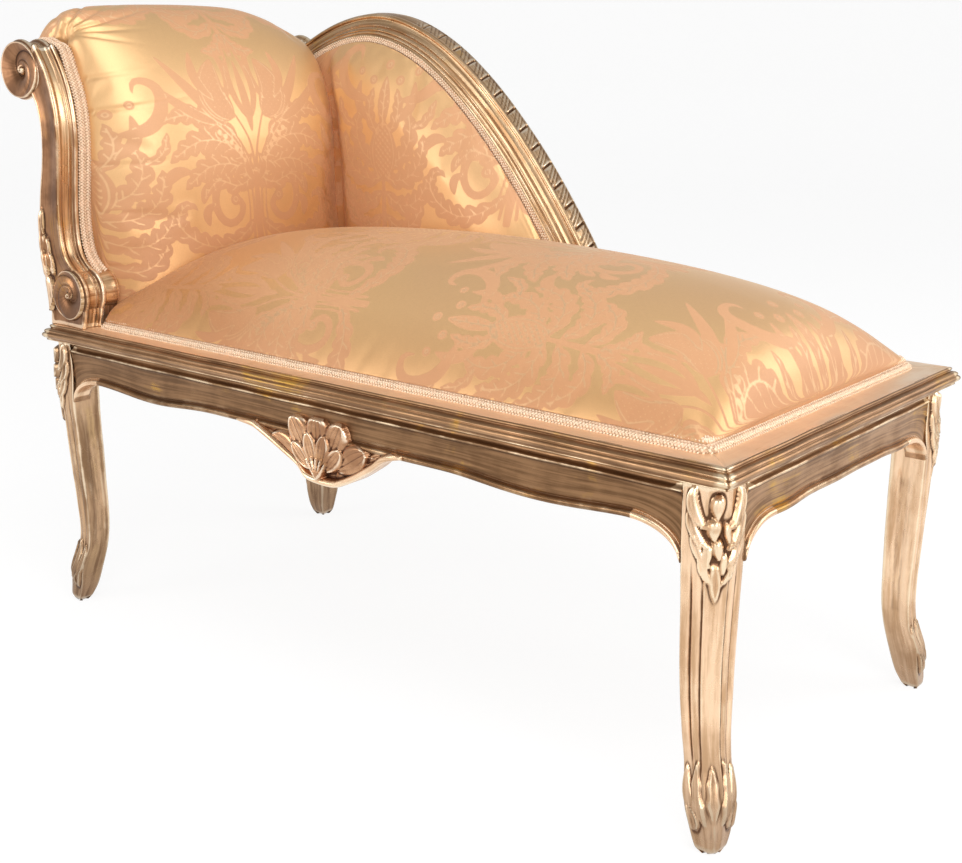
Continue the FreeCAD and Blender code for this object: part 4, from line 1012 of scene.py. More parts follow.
# A darker copy of the thread for the band under the knots: painted shade between them.
braid_ground_painted_shade = braid_finish("braid_ground_painted_shade", (0.34, 0.19, 0.10, 1), (0.66, 0.44, 0.28, 1))
print("braid", thread.name, braid_ground_painted_shade.name)

# %% Knots by Geometry Nodes
def knot_tree():
    """Geometry Nodes tree: one bead on every point, turned and sized by the point's attributes."""
    tree = bpy.data.node_groups.new("knots", "GeometryNodeTree")
    face = tree.interface
    face.new_socket("Net", in_out="INPUT", socket_type="NodeSocketGeometry")
    for label, value in (("Bead length", 2.1 * mm), ("Bead width", 1.05 * mm), ("Bead height", 1.3 * mm)):
        face.new_socket(label, in_out="INPUT", socket_type="NodeSocketFloat").default_value = value
    face.new_socket("Thread", in_out="INPUT", socket_type="NodeSocketMaterial")
    face.new_socket("Braid", in_out="OUTPUT", socket_type="NodeSocketGeometry")
    source = add(tree, "NodeGroupInput")
    sides = {k: source.outputs[label] for k, label in enumerate(("Bead length", "Bead width", "Bead height"))}
    size = add(tree, "ShaderNodeCombineXYZ", sides)
    ball = add(tree, "GeometryNodeMeshIcoSphere", {"Radius": 1.0, "Subdivisions": 1})
    bead = add(tree, "GeometryNodeTransform", {"Geometry": ball.outputs["Mesh"], "Scale": size.outputs[0]})
    turn = add(tree, "GeometryNodeInputNamedAttribute", {"Name": "turn"}, data_type="FLOAT_VECTOR")
    grow = add(tree, "GeometryNodeInputNamedAttribute", {"Name": "grow"}, data_type="FLOAT_VECTOR")
    rotate = add(tree, "FunctionNodeEulerToRotation", {0: turn.outputs["Attribute"]})
    beads = add(tree, "GeometryNodeInstanceOnPoints",
                {"Points": source.outputs["Net"], "Instance": bead.outputs["Geometry"],
                 "Rotation": rotate.outputs[0], "Scale": grow.outputs["Attribute"]})
    solid = add(tree, "GeometryNodeRealizeInstances", {"Geometry": beads.outputs[0]})
    finish = add(tree, "GeometryNodeSetMaterial",
                 {"Geometry": solid.outputs[0], "Material": source.outputs["Thread"]})
    output = add(tree, "NodeGroupOutput")
    tree.links.new(finish.outputs[0], output.inputs[0])
    return tree


knots = knot_tree()


def evaluated(piece):
    """The piece as its modifiers make it."""
    return piece.evaluated_get(bpy.context.evaluated_depsgraph_get())


def knotted(name, places, turns, sizes):
    """Mesh of beads at the places given."""
    net = bpy.data.meshes.new(name)
    net.from_pydata([tuple(p) for p in places], [], [])
    keep(net, "turn", turns, "FLOAT_VECTOR")
    keep(net, "grow", sizes, "FLOAT_VECTOR")
    holder = linked(name, net)
    modifier = holder.modifiers.new("knots", "NODES")
    modifier.node_group = knots
    for item in knots.interface.items_tree:
        if item.item_type == "SOCKET" and item.name == "Thread":
            modifier[item.identifier] = thread
    bpy.context.view_layer.update()
    mesh = bpy.data.meshes.new_from_object(evaluated(holder))
    bpy.data.objects.remove(holder)
    bpy.data.meshes.remove(net)
    return mesh


print("nodes that make the knots", len(knots.nodes))

# %% Laying a braid along a path
knot_pitch = 4.2 * mm
# Each row of knots: its place across the braid, its slant, its size, and its start as a share of the pitch.
braid_rows = [(-0.47, 0.9, 1.0, 0.5), (-0.31, -0.9, 1.25, 0.0), (-0.19, 0.9, 1.25, 0.5), (0.0, 0.0, 0.75, 0.0),
              (0.19, -0.9, 1.25, 0.5), (0.31, 0.9, 1.25, 0.0), (0.47, -0.9, 1.0, 0.5)]


def braid_lift(k):
    """How high the braid stands in mm at k of its width from the middle: highest on its two ribs."""
    return 0.9 + 1.1 * math.exp(-((abs(k) - 0.25) / 0.09) ** 2)


def unit(rows):
    """Each row scaled to length 1."""
    return rows / np.linalg.norm(rows, axis=1)[:, None]


def resampled(path, extra, step):
    """Path at even steps, with the vectors in extra carried along."""
    run = running(path)
    want = np.linspace(0, run[-1], max(int(run[-1] / step), 2))
    stack = np.concatenate([path, extra], axis=1)
    return np.stack([np.interp(want, run, stack[:, k]) for k in range(stack.shape[1])], axis=1)


def braid(name, nodes, path, across, out, width):
    """Braid along path: across points to one edge of it and out away from what it lies on."""
    even = resampled(np.asarray(path), np.concatenate([across, out], axis=1), knot_pitch)
    path, across, out = even[:, :3], unit(even[:, 3:6]), unit(even[:, 6:9])
    along = unit(np.gradient(path, axis=0))
    section = [(k, braid_lift(k)) for k in np.linspace(-0.45, 0.45, 25)]
    section += [(k, -1.2) for k in np.linspace(0.44, -0.44, 9)]
    rings = [[p + a * k * width + o * h * mm for k, h in section] for p, a, o in zip(path, across, out)]
    band = skin(name + "_band", rings)
    places, turns, sizes = [], [], []
    jitter = np.random.default_rng(11)
    for offset, slant, size, start in braid_rows:
        lift = braid_lift(offset)
        for i in range(len(path) - 1):
            p = path[i] * (1 - start) + path[i + 1] * start
            axes = Matrix((along[i], across[i], out[i])).transposed()
            tilt = Matrix.Rotation(slant + jitter.uniform(-0.15, 0.15), 3, "Z")
            places.append(p + across[i] * (offset * width + jitter.normal() * 0.18 * mm) + out[i] * (lift - 0.1) * mm)
            turns.append(tuple((axes @ tilt).to_euler()))
            sizes.append((size, size, size * jitter.uniform(0.85, 1.15)))
    beads = knotted(name + "_beads", places, turns, sizes)
    band_faces = len(band.polygons)
    mesh = joined(name, [band, beads])
    mesh.materials.clear()
    # The band's faces take the darker thread: painted shade between the knots.
    picked_out(placed(name, mesh, thread, nodes), braid_ground_painted_shade, lambda face: face.index < band_faces)
    print(name, len(mesh.polygons), "faces")


print("rows of knots", len(braid_rows))

# %% Braids
def seat_braid_path():
    """Round the cushion's edge: along the front, across the foot end and back to the crest rail."""
    low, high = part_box("seat_gimp")
    start, end = low.x, high.x - 5 * mm
    front, back = low.y + 5 * mm, high.y - 5 * mm
    height = seat_top + 6.5 * mm
    crest_foot = crest_high.x + 2 * mm
    corner = 7 * mm
    path, across = [], []

    def corner_points(x, y, first):
        """Quarter circle about x, y from the angle first."""
        for t in np.linspace(0, math.pi / 2, 8):
            way = first + t
            path.append((x + corner * math.cos(way), y + corner * math.sin(way), height))
            across.append((math.cos(way), math.sin(way)))

    for x in np.linspace(start, end - corner, 60):
        path.append((x, front, height))
        across.append((0, -1))
    corner_points(end - corner, front + corner, -math.pi / 2)
    for y in np.linspace(front + corner, back - corner, 40)[1:-1]:
        path.append((end, y, height))
        across.append((1, 0))
    corner_points(end - corner, back - corner, 0.0)
    for x in np.linspace(end - corner, crest_foot, 40):
        path.append((x, back, height))
        across.append((0, 1))
    side = np.array([(x, y, -0.95) for x, y in across])
    out = np.array([(x, y, 1.0) for x, y in across])
    return np.array(path), side, out


def head_braid_path():
    """Down the front stile's rebate."""
    over = [(head_edge + (41.5 * math.cos(a) - 25) * mm, seat_top + 0.9 * stile_rise + 41.5 * mm * math.sin(a))
            for a in np.radians([58, 84, 108, 132, 152])]
    edge = [(head_edge + x * mm, seat_top + s * stile_rise) for x, s in stile_fore[2:]]
    count = 120
    fore = smooth_curve(edge + over, count)[::-1]
    normal = -arch_normals(fore)
    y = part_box("head_gimp")[0].y + 10 * mm
    fore = fore - normal * 1.4 * mm
    path = np.stack([fore[:, 0], np.full(count, y), fore[:, 1]], axis=1)
    out = np.stack([normal[:, 0], np.zeros(count), normal[:, 1]], axis=1)
    return path, np.tile([0.0, 1.0, 0.0], (count, 1)), out


def back_braid_path():
    """Inside the crest rail's moulding."""
    middle_in, face_y = 43.5, 217 * mm
    inner = arch_outer[::4] + arch_normals(arch_outer)[::4] * middle_in * mm
    inner = inner[(inner[:, 0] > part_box("back_gimp")[0].x - 30 * mm) & (inner[:, 1] > seat_top + 6 * mm)]
    normal = arch_normals(inner)
    count = len(inner)
    path = np.stack([inner[:, 0], np.full(count, face_y), inner[:, 1]], axis=1)
    across = np.stack([normal[:, 0], np.zeros(count), normal[:, 1]], axis=1)
    return path, across, np.tile([0.0, -1.0, 0.0], (count, 1))


braid("braid_seat", ["seat_gimp"], *seat_braid_path(), 21 * mm)
braid("braid_head", ["head_gimp"], *head_braid_path(), 20 * mm)
braid("braid_back", ["back_gimp"], *back_braid_path(), 21 * mm)

# %% [markdown]
# Damask has one colour of silk in two weaves: a satin ground that shines, and figures that lie matt on it.
# The figure is a traditional one: a bouquet of serrated leaves, tulips and scrolls, mirrored about its stem, with a
# posy between each two. A picture would blur when enlarged, so it is drawn once on a tile as distances from its
# edges, which stay sharp.

# %% Leaves of the damask figure
# The bouquet: each leaf's spine, its width, then what sets it apart. Only the right half is listed.
bouquet = [
    ([(3, -150), (3, -90), (2, -26)], 8, {"shape": "band"}),
    ([(15, -140), (10, -90), (12, -34)], 6, {"shape": "band"}),
    ([(28, -128), (20, -90), (22, -42)], 5, {"shape": "band"}),
    ([(8, -98), (46, -128), (100, -140), (148, -120), (168, -84), (150, -60), (132, -72)], 46, {"teeth": 9}),
    ([(14, -34), (30, -10), (62, -8), (90, -36), (92, -76), (70, -100), (44, -92), (36, -68), (52, -56)], 19,
     {"shape": "band"}),
    ([(84, -30), (108, -34), (120, -62)], 20, {"full": 1.2}),
    ([(92, -62), (112, -74), (110, -102)], 18, {"full": 1.2}),
    ([(64, -8), (92, -2), (116, -18)], 18, {"full": 1.2}),
    ([(6, -16), (46, -34), (84, -22), (116, -52)], 36, {"teeth": 5}),
    ([(8, -12), (58, 6), (104, 2), (152, -34)], 54, {"teeth": 7}),
    ([(16, 2), (66, 44), (120, 48), (176, 14)], 56, {"teeth": 7}),
    ([(26, 22), (78, 78), (130, 96), (190, 84)], 46, {"teeth": 7}),
    ([(2, -26), (26, -4), (52, -20)], 22, {}), ([(0, -30), (18, 4), (8, 22)], 18, {}),
    ([(1, -18), (9, 42), (32, 92)], 6.0, {"shape": "band"}),
    ([(4, -14), (26, 34), (66, 84)], 6.5, {"shape": "band"}),
    ([(58, 74), (92, 112), (164, 206)], 22, {"full": 0.7}),
    ([(74, 78), (118, 98), (190, 156)], 20, {"full": 0.7}),
    ([(36, 88), (68, 126), (50, 198)], 60, {"full": 0.72, "seeds": 1}),
    ([(44, 120), (26, 168), (42, 222)], 18, {"full": 0.9}),
    ([(70, 120), (96, 160), (90, 214)], 20, {"full": 0.9}),
    ([(0, 60), (0, 120), (0, 196)], 18, {"full": 0.8}),
    ([(5, 84), (24, 134), (10, 214)], 14, {"full": 0.8}),
]
# The posy between bouquets, half a repeat across and along.
posy = [
    ([(2, -170), (2, -96), (1, -40)], 9, {"shape": "band"}),
    ([(4, -104), (44, -128), (84, -104), (96, -58)], 38, {"teeth": 5}),
    ([(4, -60), (46, -84), (92, -66), (116, -18)], 46, {"teeth": 6}),
    ([(4, -36), (54, -34), (92, 0), (98, 52)], 48, {"teeth": 6}),
    ([(6, -14), (50, 10), (68, 50), (52, 100)], 42, {"teeth": 5}),
    ([(4, -130), (24, -166), (62, -170)], 30, {"teeth": 4}),
    ([(0, -40), (0, 10), (0, 76)], 70, {"full": 0.85, "seeds": 2}),
    ([(12, 46), (34, 84), (26, 134)], 30, {"teeth": 4}),
    ([(0, 62), (0, 100), (0, 156)], 28, {"teeth": 4}),
    ([(34, 70), (62, 104), (60, 148)], 20, {}),
    ([(72, 60), (100, 78), (112, 116)], 22, {"teeth": 3}),
    ([(100, 20), (124, 44), (150, 42)], 22, {}),
    ([(40, 112), (86, 124), (112, 160), (104, 200), (76, 204), (70, 182)], 24, {"full": 0.7}),
]
# Round buds: place and radius.
bouquet_buds = [(51, -58, 11), (24, 10, 3.8), (32, 22, 4.0), (41, 33, 4.2), (51, 44, 4.6), (62, 54, 4.8), (74, 63, 5),
                (0, 208, 6), (0, -8, 8)]
posy_buds = [(30, 148, 9), (62, 164, 8), (0, 176, 9)]
print("leaves in the figure", len(bouquet) + len(posy), "and buds", len(bouquet_buds) + len(posy_buds))

# %% [markdown]
# Each leaf follows a curved spine. A point of the cloth looks for the nearest place on it. Its distance from there
# says whether it lies inside the leaf. The saw-toothed edge, the veins and the seeds follow from how far along the
# spine that place is. Filled outlines would be quicker, but would give no veins.

# %% One leaf of the figure
no_vein = 9.0


def stroke(u, v, spine, width, shape="leaf", teeth=0, full=0.9, seeds=0):
    """How deep u, v lie inside a leaf or band along the spine, and their distance to its veins."""
    spine = smooth_curve(spine, 22)
    best = np.full(u.shape, 1e6)
    share = np.zeros(u.shape)
    side = np.zeros(u.shape)
    for k in range(len(spine) - 1):
        a, d = spine[k], spine[k + 1] - spine[k]
        t = np.clip(((u - a[0]) * d[0] + (v - a[1]) * d[1]) / (d @ d), 0, 1)
        x, y = u - a[0] - t * d[0], v - a[1] - t * d[1]
        away = np.hypot(x, y)
        nearer = away < best
        best = np.where(nearer, away, best)
        share = np.where(nearer, (k + t) / (len(spine) - 1), share)
        side = np.where(nearer, np.sign(d[0] * y - d[1] * x), side)
    if shape == "band":
        return 0.5 * width * (1.0 - 0.35 * share) - best, np.full(u.shape, no_vein)
    half = 0.5 * width * np.sin(math.pi * np.clip(share, 0.001, 0.999) ** full) ** 0.7
    rib = best + 0.06 * width
    if teeth:
        pitch = np.linalg.norm(np.diff(spine, axis=0), axis=1).sum() / teeth
        run = share * teeth - 0.85 * best / pitch + 0.2 * side
        part = run - np.floor(run)
        half = half * (0.50 + 0.50 * np.sin(math.pi * part ** 0.6) ** 0.55)
        rib = np.minimum(best, 0.75 * pitch * np.abs(part - 0.5) + np.clip(best - 0.66 * half, 0, 9))
    if seeds:
        mesh_u, mesh_v = (u + v) / 9.6, (u - v) / 9.6
        dots = np.hypot(mesh_u - np.round(mesh_u), mesh_v - np.round(mesh_v)) * 6.7
        core = best / np.maximum(half, 1e-3)
        rib = np.where(core < 0.62, np.abs(dots - 1.2) if seeds == 2 else dots - 0.2, np.abs(core - 0.76) * half)
    return half - best, np.where((share > 0.03) & (share < 0.93), rib, no_vein)


middle_depth = stroke(np.array([0.0]), np.array([10.0]), [(0, 0), (0, 20)], 8)[0]
print("the middle of a leaf 8 mm wide is", round(float(middle_depth[0]), 2), "mm deep")

# %% [markdown]
# The tile holds a bouquet and a posy, and the same two again half a repeat along and across, as woven damask does.
# Each leaf is drawn only on the points near it, and mirrored. Where two overlap, the later one lies on top.

# %% One repeat of the figure
tile_width = 460.0
tile_length = 690.0
tile_step = 1.25
figure_scale = 0.80
posy_drop = 37.0
around_leaf = 14


def damask_tile():
    """The figure's depth and the distance to its veins over one repeat, in millimetres."""
    columns, rows = int(tile_width / tile_step), int(tile_length / tile_step)
    depth = np.full((rows, columns), -40.0)
    rib = np.full((rows, columns), no_vein)

    def draw(inside, vein, u, v):
        """Lays a leaf on the tile, with a fine line along its edge where it covers an earlier one."""
        i = np.round(v / tile_step).astype(int) % rows
        j = np.round(u / tile_step).astype(int) % columns
        below = depth[i, j]
        over = inside > np.minimum(below, 1.5)
        vein = np.where(below > 2.0, np.minimum(vein, np.abs(inside - 0.6)), vein)
        rib[i, j] = np.where(over | ((below > 2.0) & (np.abs(inside - 0.6) < 1.4)), vein, rib[i, j])
        depth[i, j] = np.where(over & (below < 2.0), inside, below)

    def grid(low, high):
        """The tile's points from low to high, along both ways."""
        return np.meshgrid(*(np.arange(a, b, tile_step) for a, b in zip(low, high)))

    across, up = 0.5 * tile_width, 0.5 * tile_length
    for leaves, spots, x, y in ((bouquet, bouquet_buds, 0.0, 0.0), (bouquet, bouquet_buds, across, up),
                                (posy, posy_buds, across, -posy_drop), (posy, posy_buds, 0.0, up - posy_drop)):
        for mirror in (1, -1):
            for spine, width, how in leaves:
                spine, width = np.array(spine) * figure_scale, width * figure_scale
                low, high = spine.min(axis=0) - width - around_leaf, spine.max(axis=0) + width + around_leaf
                low, high = np.floor(low / tile_step) * tile_step, np.ceil(high / tile_step) * tile_step
                u, v = grid(low, high)
                inside, vein = stroke(u, v, spine, width, **how)
                draw(inside, vein, mirror * u + x, v + y)
            for a, b, r in np.array(spots) * figure_scale:
                low = np.floor((np.array([a, b]) - r - around_leaf) / tile_step) * tile_step
                u, v = grid(low, low + 2 * r + 2 * around_leaf)
                inside = r - np.hypot(u - a, v - b)
                vein = np.abs(inside - 0.6 * r) if r > 3 else np.full(u.shape, no_vein)
                draw(inside, vein, mirror * u + x, v + y)
    return depth, rib


def looked_up(table, u, v):
    """Value of a tile's table at the points u, v in millimetres, repeating both ways."""
    rows, columns = table.shape
    x = np.mod(u / tile_step, columns)
    y = np.mod(v / tile_step, rows)
    j, i = np.floor(x).astype(int) % columns, np.floor(y).astype(int) % rows
    s, t = x - np.floor(x), y - np.floor(y)
    top = table[i, j] * (1 - s) + table[i, (j + 1) % columns] * s
    low = table[(i + 1) % rows, j] * (1 - s) + table[(i + 1) % rows, (j + 1) % columns] * s
    return top * (1 - t) + low * t


damask_depth, damask_rib = damask_tile()
print("damask covers", round(float((damask_depth > 0).mean()), 2), "of the ground")

# %% [markdown]
# The silk is one material. The ground is smoother and catches the lamps, and the figure is rougher and pinker.
# Both have fine threads, and thin satin lines draw the veins and the edges inside the figure. The attribute
# painted_pad_shade darkens the colour as painted shade where one pad meets another, and towards the lower part of the
# head and back pads.
# Two cloths, one laid on the other, would show an edge that woven damask doesn't have.

# %% Silk damask
def silk(name, ground, figure_colour, line, ground_metal):
    """Damask whose figure and veins are read from the mesh. ground_metal is how much the satin ground shines."""
    material, tree, shader, place, along = new_finish(name)
    depth = attribute(tree, "figure")
    vein = attribute(tree, "vein")
    inside = graded(tree, depth, -0.5, 0.5)
    lines = maths(tree, "MULTIPLY", maths(tree, "SUBTRACT", 1.0, graded(tree, vein, 0.5, 1.5)),
                  graded(tree, depth, 0.3, 1.4))
    matt = maths(tree, "SUBTRACT", inside, maths(tree, "MULTIPLY", lines, 0.85))
    shift = noise(tree, place, 5.0, 2.0)
    thread_u = noise(tree, stretched(tree, along, 2600.0, 120.0, 1.0), 1.0, 2.0)
    thread_v = noise(tree, stretched(tree, along, 120.0, 2600.0, 1.0), 1.0, 2.0)
    colour = blended(tree, inside, ground, figure_colour)
    colour = blended(tree, maths(tree, "MULTIPLY", lines, 0.75), colour, line)
    colour = blended(tree, graded(tree, shift, 0.35, 0.65, 0.0, 0.22), colour, (0.80, 0.45, 0.24, 1))
    colour = blended(tree, graded(tree, maths(tree, "ADD", thread_u, thread_v), 0.8, 1.25, 0.0, 0.14), colour,
                     (0.45, 0.24, 0.11, 1))
    # Painted shade: the colour is multiplied darker where painted_pad_shade is high.
    colour = blended(tree, attribute(tree, "painted_pad_shade"), colour, (0.76, 0.65, 0.54, 1), "MULTIPLY")
    tree.links.new(colour, shader.inputs["Base Color"])
    tree.links.new(graded(tree, matt, 0.0, 1.0, 0.44, 0.62), shader.inputs["Roughness"])
    tree.links.new(graded(tree, matt, 0.0, 1.0, ground_metal, 0.10), shader.inputs["Metallic"])
    set_values(shader, Coat_Weight=0.32, Coat_Roughness=0.42, Sheen_Weight=0.15, Sheen_Roughness=0.4,
               Sheen_Tint=(1.0, 0.80, 0.58, 1))
    threads = maths(tree, "ADD", thread_u, maths(tree, "MULTIPLY", thread_v, 0.8))
    height = maths(tree, "ADD", maths(tree, "MULTIPLY", threads, 0.22), maths(tree, "MULTIPLY", matt, 0.5))
    set_bump(tree, shader, height, 0.25 * mm, 0.5)
    return material


damask = silk("silk_damask", (0.84, 0.525, 0.245, 1), (0.69, 0.36, 0.175, 1), (0.86, 0.58, 0.32, 1), 0.60)
print("silk", damask.name)

# %% [markdown]
# A pad is skinned slightly slack, then blown up as cloth over its stuffing while its tacked edges stay where
# they are. Blender's Cloth does this with pressure. Subdivision alone would round the form, but not pull it tight
# between its tacks. The move of each point is capped, so the pad keeps its size.

# %% Blowing up a pad
last_frame = 20
cloth_settings = {"quality": 6, "mass": 0.2, "tension_stiffness": 12, "compression_stiffness": 8,
                  "shear_stiffness": 4, "bending_stiffness": 1.5, "use_pressure": True}


def tacks(rings, *parts):
    """1 for the points of the rings in those parts, which are tacked down, and 0 for the rest."""
    mark = np.zeros(np.shape(rings)[:2])
    for part in parts:
        mark[part] = 1
    return mark


def blow_up(piece, held, pressure, cap, slack):
    """Runs Cloth with pressure on the piece, cut larger by slack, and keeps what it moved within the cap."""
    group = piece.vertex_groups.new(name="tacked")
    for index in np.nonzero(held > 0)[0]:
        group.add([int(index)], float(held[index]), "REPLACE")
    before = vectors(piece.data.vertices)
    cloth = piece.modifiers.new("cloth", "CLOTH")
    for key, value in cloth_settings.items():
        setattr(cloth.settings, key, value)
    cloth.settings.uniform_pressure_force = pressure
    cloth.settings.shrink_min = -slack
    cloth.settings.vertex_group_mass = "tacked"
    cloth.settings.effector_weights.gravity = 0.0
    cloth.collision_settings.use_collision = False
    for step in range(1, last_frame + 1):
        bpy.context.scene.frame_set(step)
    move = vectors(evaluated(piece).data.vertices) - before
    piece.modifiers.clear()
    length = np.linalg.norm(move, axis=1)
    move *= np.minimum(1.0, cap / np.maximum(length, 1e-9))[:, None]
    piece.data.vertices.foreach_set("co", (before + move).ravel())
    piece.data.update()
    bpy.context.scene.frame_set(1)
    print(piece.name, "moved", round(float(length.max()), 4), "mean", round(float(length.mean()), 4))


print("cloth runs to frame", last_frame)

# %% [markdown]
# Cloth that is pulled round a corner makes small pleats that run out from the tacks. A finer simulation might find
# them, but not where this cover has them, so they are pressed in after it.

# %% Pleats
def crease(mesh, depth):
    """Moves each point inwards along its normal by depth."""
    place = vectors(mesh.vertices) - vectors(mesh.vertices, "normal") * depth[:, None]
    mesh.vertices.foreach_set("co", place.ravel())
    mesh.update()


def pleats(u, v, start, folds):
    """Grooves that run out from a point of the cloth: each fold is its direction, length, depth and width."""
    du, dv = u - start[0], v - start[1]
    away = np.hypot(du, dv)
    angle = np.degrees(np.arctan2(dv, du))
    depth = np.zeros_like(u)
    for way, reach, deep, wide in folds:
        off = np.abs((angle - way + 180) % 360 - 180)
        side = away * np.sin(np.radians(np.minimum(off, 90)))
        fade = np.exp(-(away / (reach * mm)) ** 2) * np.clip(away / (8 * mm), 0, 1)
        depth += deep * mm * fade * np.exp(-(side / (wide * mm)) ** 2) * (off < 90)
    return depth


straight_ahead = pleats(np.array([0.02]), np.array([0.0]), (0, 0), [(0, 40, 3, 3)])
print("a pleat 3 mm deep is", round(float(straight_ahead[0]), 4), "m deep 20 mm from its tack")

# %% Stuffing a pad
def cloth_points(places):
    """Places on the cloth for every point of a skin: those of its rings, then of its two ends."""
    places = np.asarray(places)
    return np.concatenate([places.reshape(-1, 2), [places[0].mean(axis=0), places[-1].mean(axis=0)]])


def figured(mesh, place):
    """Stores the damask's figure and veins on the mesh, for points that lie at those places on the cloth."""
    for label, table in (("figure", damask_depth), ("vein", damask_rib)):
        keep(mesh, label, looked_up(table, place[:, 0] / mm, place[:, 1] / mm))


def stuffed(name, node, rings, cloth_place, fixed, pressure, cap, slack, painted_pad_shade, wrinkle=None):
    """Padded piece from rings. cloth_place is where each point lies on the cloth, and fixed marks the tacked points.
    painted_pad_shade gives 0 to 1 of painted shade from the points' x, y and z, and wrinkle a depth from their place
    on the cloth."""
    mesh = skin(name, rings)
    flat = cloth_points(cloth_place)
    held = np.concatenate([fixed.ravel(), [1.0, 1.0]])
    keep(mesh, "cloth_place", np.column_stack([flat, np.zeros(len(flat))]), "FLOAT_VECTOR")
    piece = linked(name, mesh)
    blow_up(piece, held, pressure, cap, slack)
    finer = piece.modifiers.new("finer", "SUBSURF")
    finer.levels = finer.render_levels = 2
    whole = bpy.data.meshes.new_from_object(evaluated(piece))
    piece.modifiers.clear()
    piece.data = whole
    bpy.data.meshes.remove(mesh)
    place = vectors(whole.attributes["cloth_place"].data, "vector")
    if wrinkle is not None:
        crease(whole, wrinkle(place[:, 0], place[:, 1]))
    figured(whole, place)
    keep(whole, "painted_pad_shade", np.clip(painted_pad_shade(*vectors(whole.vertices).T), 0, 1))
    whole.attributes.remove(whole.attributes["cloth_place"])
    shaded(whole)
    whole.materials.clear()
    whole.materials.append(damask)
    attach(piece, "root")
    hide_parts(node)
    print(name, len(whole.polygons), "faces")


# %% [markdown]
# The seat is a long cushion with a crown. Its sides rise steeply from the braid and it falls away to the foot end.
# At the head it runs on under the head pad, so no daylight shows between the two. A subdivided box would be as
# round at the foot as at the braid, so two curves give the crown along and across.


# %% Seat cushion
seat_low, seat_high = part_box("seat_pad")
seat_start = head_edge + 118 * mm
seat_crown = 133 * mm
over_points = 75
under_points = 9
# Shares of the cushion's length and of its crown, then shares of the way in from its side and of the height there.
seat_rows = [(-0.06, 0.44), (-0.02, 0.52), (0.0, 0.58), (0.03, 0.70), (0.08, 0.79), (0.17, 0.89), (0.32, 0.965),
             (0.50, 1.0), (0.68, 0.965), (0.82, 0.875), (0.91, 0.74), (0.96, 0.56), (0.985, 0.36), (1.0, 0.05)]
seat_side = [(0.0, 0.0), (0.012, 0.10), (0.05, 0.23), (0.12, 0.38), (0.22, 0.55), (0.36, 0.72), (0.55, 0.86),
             (0.78, 0.965), (1.0, 1.0)]
back_pad_front = 186 * mm


def seat_rings():
    """Sections from under the head pad to the foot end, and where their points lie on the cloth."""
    across = -np.cos(np.linspace(0, math.pi, over_points))
    rise = [eased(seat_side, 1 - abs(k))[0] for k in across]
    middle, half = 0.5 * (seat_low.y + seat_high.y), 0.5 * (seat_high.y - seat_low.y)
    rings, places = [], []
    for share in np.concatenate([np.linspace(-0.042, 0, 6)[:-1], np.linspace(0, 0.93, 106),
                                 np.linspace(0.93, 1.0, 15)[1:]]):
        x = seat_start + share * (seat_high.x - seat_start)
        crown = eased(seat_rows, share)[0] * seat_crown
        behind = back_pad_front + (seat_high.y - back_pad_front) * float(np.clip((x - 0.045) / 0.03, 0, 1))
        y = np.minimum(middle + half * across, behind)
        z = seat_low.z + 3 * mm + crown * np.array(rise)
        y = np.concatenate([y, np.linspace(y[-1], y[0], under_points + 2)[1:-1]])
        z = np.concatenate([z, np.full(under_points, seat_low.z)])
        rings.append(np.stack([np.full(len(y), x), y, z], axis=-1))
        turn = np.concatenate([[0], np.cumsum(np.hypot(np.diff(y), np.diff(z)))])
        turn = turn - turn[over_points // 2]
        places.append(np.stack([turn, np.full(len(y), -x)], axis=-1))
    return np.array(rings), np.array(places)


def seat_painted_pad_shade(x, y, z):
    """Painted shade: 1 towards the head, and some along the braid."""
    return 0.95 * np.clip((-0.10 - x) / 0.22, 0, 1) + 0.6 * np.clip((0.51 - z) / 0.05, 0, 1)


rings, places = seat_rings()
tacked = tacks(rings, np.s_[:, :2], np.s_[:, over_points - 2:], np.s_[-3:], np.s_[:1])
stuffed("cushion_seat", "seat_pad", rings, 1.05 * places + np.array([0.21, -0.095]), tacked,
        pressure=3.0, cap=8 * mm, slack=0.002, painted_pad_shade=seat_painted_pad_shade)

# %% [markdown]
# The head pad fills the space between the stiles and rolls over the top rail. It follows the stile's curve, swells
# in front of it, and is drawn in where it is tacked beside the braid. One section, swollen more or less on the way
# from stile to stile, keeps the cloth's threads running straight down it, which a free-form blob would not.

# %% Head pad
head_bulge = 88 * mm
head_lift = 46 * mm
front_points = 84
# The section: mm out from the head's edge and up from the seat, then each point's share of the bulge and the lift.
head_section = [(64, 8, 0.90, 0), (60, 47, 0.96, 0), (49, 118, 1.0, 0), (46, 197, 1.0, 0), (46, 276, 0.93, 0),
                (38, 339, 0.76, 0.1), (22, 376, 0.56, 0.45), (-4, 394, 0.12, 1.0), (-46, 394, 0, 0.8),
                (-76, 373, 0, 0.4), (-78, 346, 0, 0.1), (-62, 326, 0, 0)]
head_behind = [(-46.4, 332), (-46.4, 352), (-46.4, 376.4), (-20, 376.4), (5, 376.4), (30.4, 376.4), (30.4, 300),
               (30.4, 200), (30.4, 100), (30.4, 8)]
# Along y: how much of the bulge and of the lift there is.
head_stations = [(-0.2115, 0.0, -0.16), (-0.2095, 0.06, 0.16), (-0.204, 0.17, 0.50), (-0.192, 0.36, 0.76),
                 (-0.170, 0.60, 0.90), (-0.125, 0.84, 0.97), (-0.05, 0.98, 1.0), (0.03, 1.02, 0.97),
                 (0.10, 1.04, 0.86), (0.145, 1.03, 0.62), (0.172, 0.98, 0.38), (0.190, 0.88, 0.18),
                 (0.2045, 0.66, 0.0)]


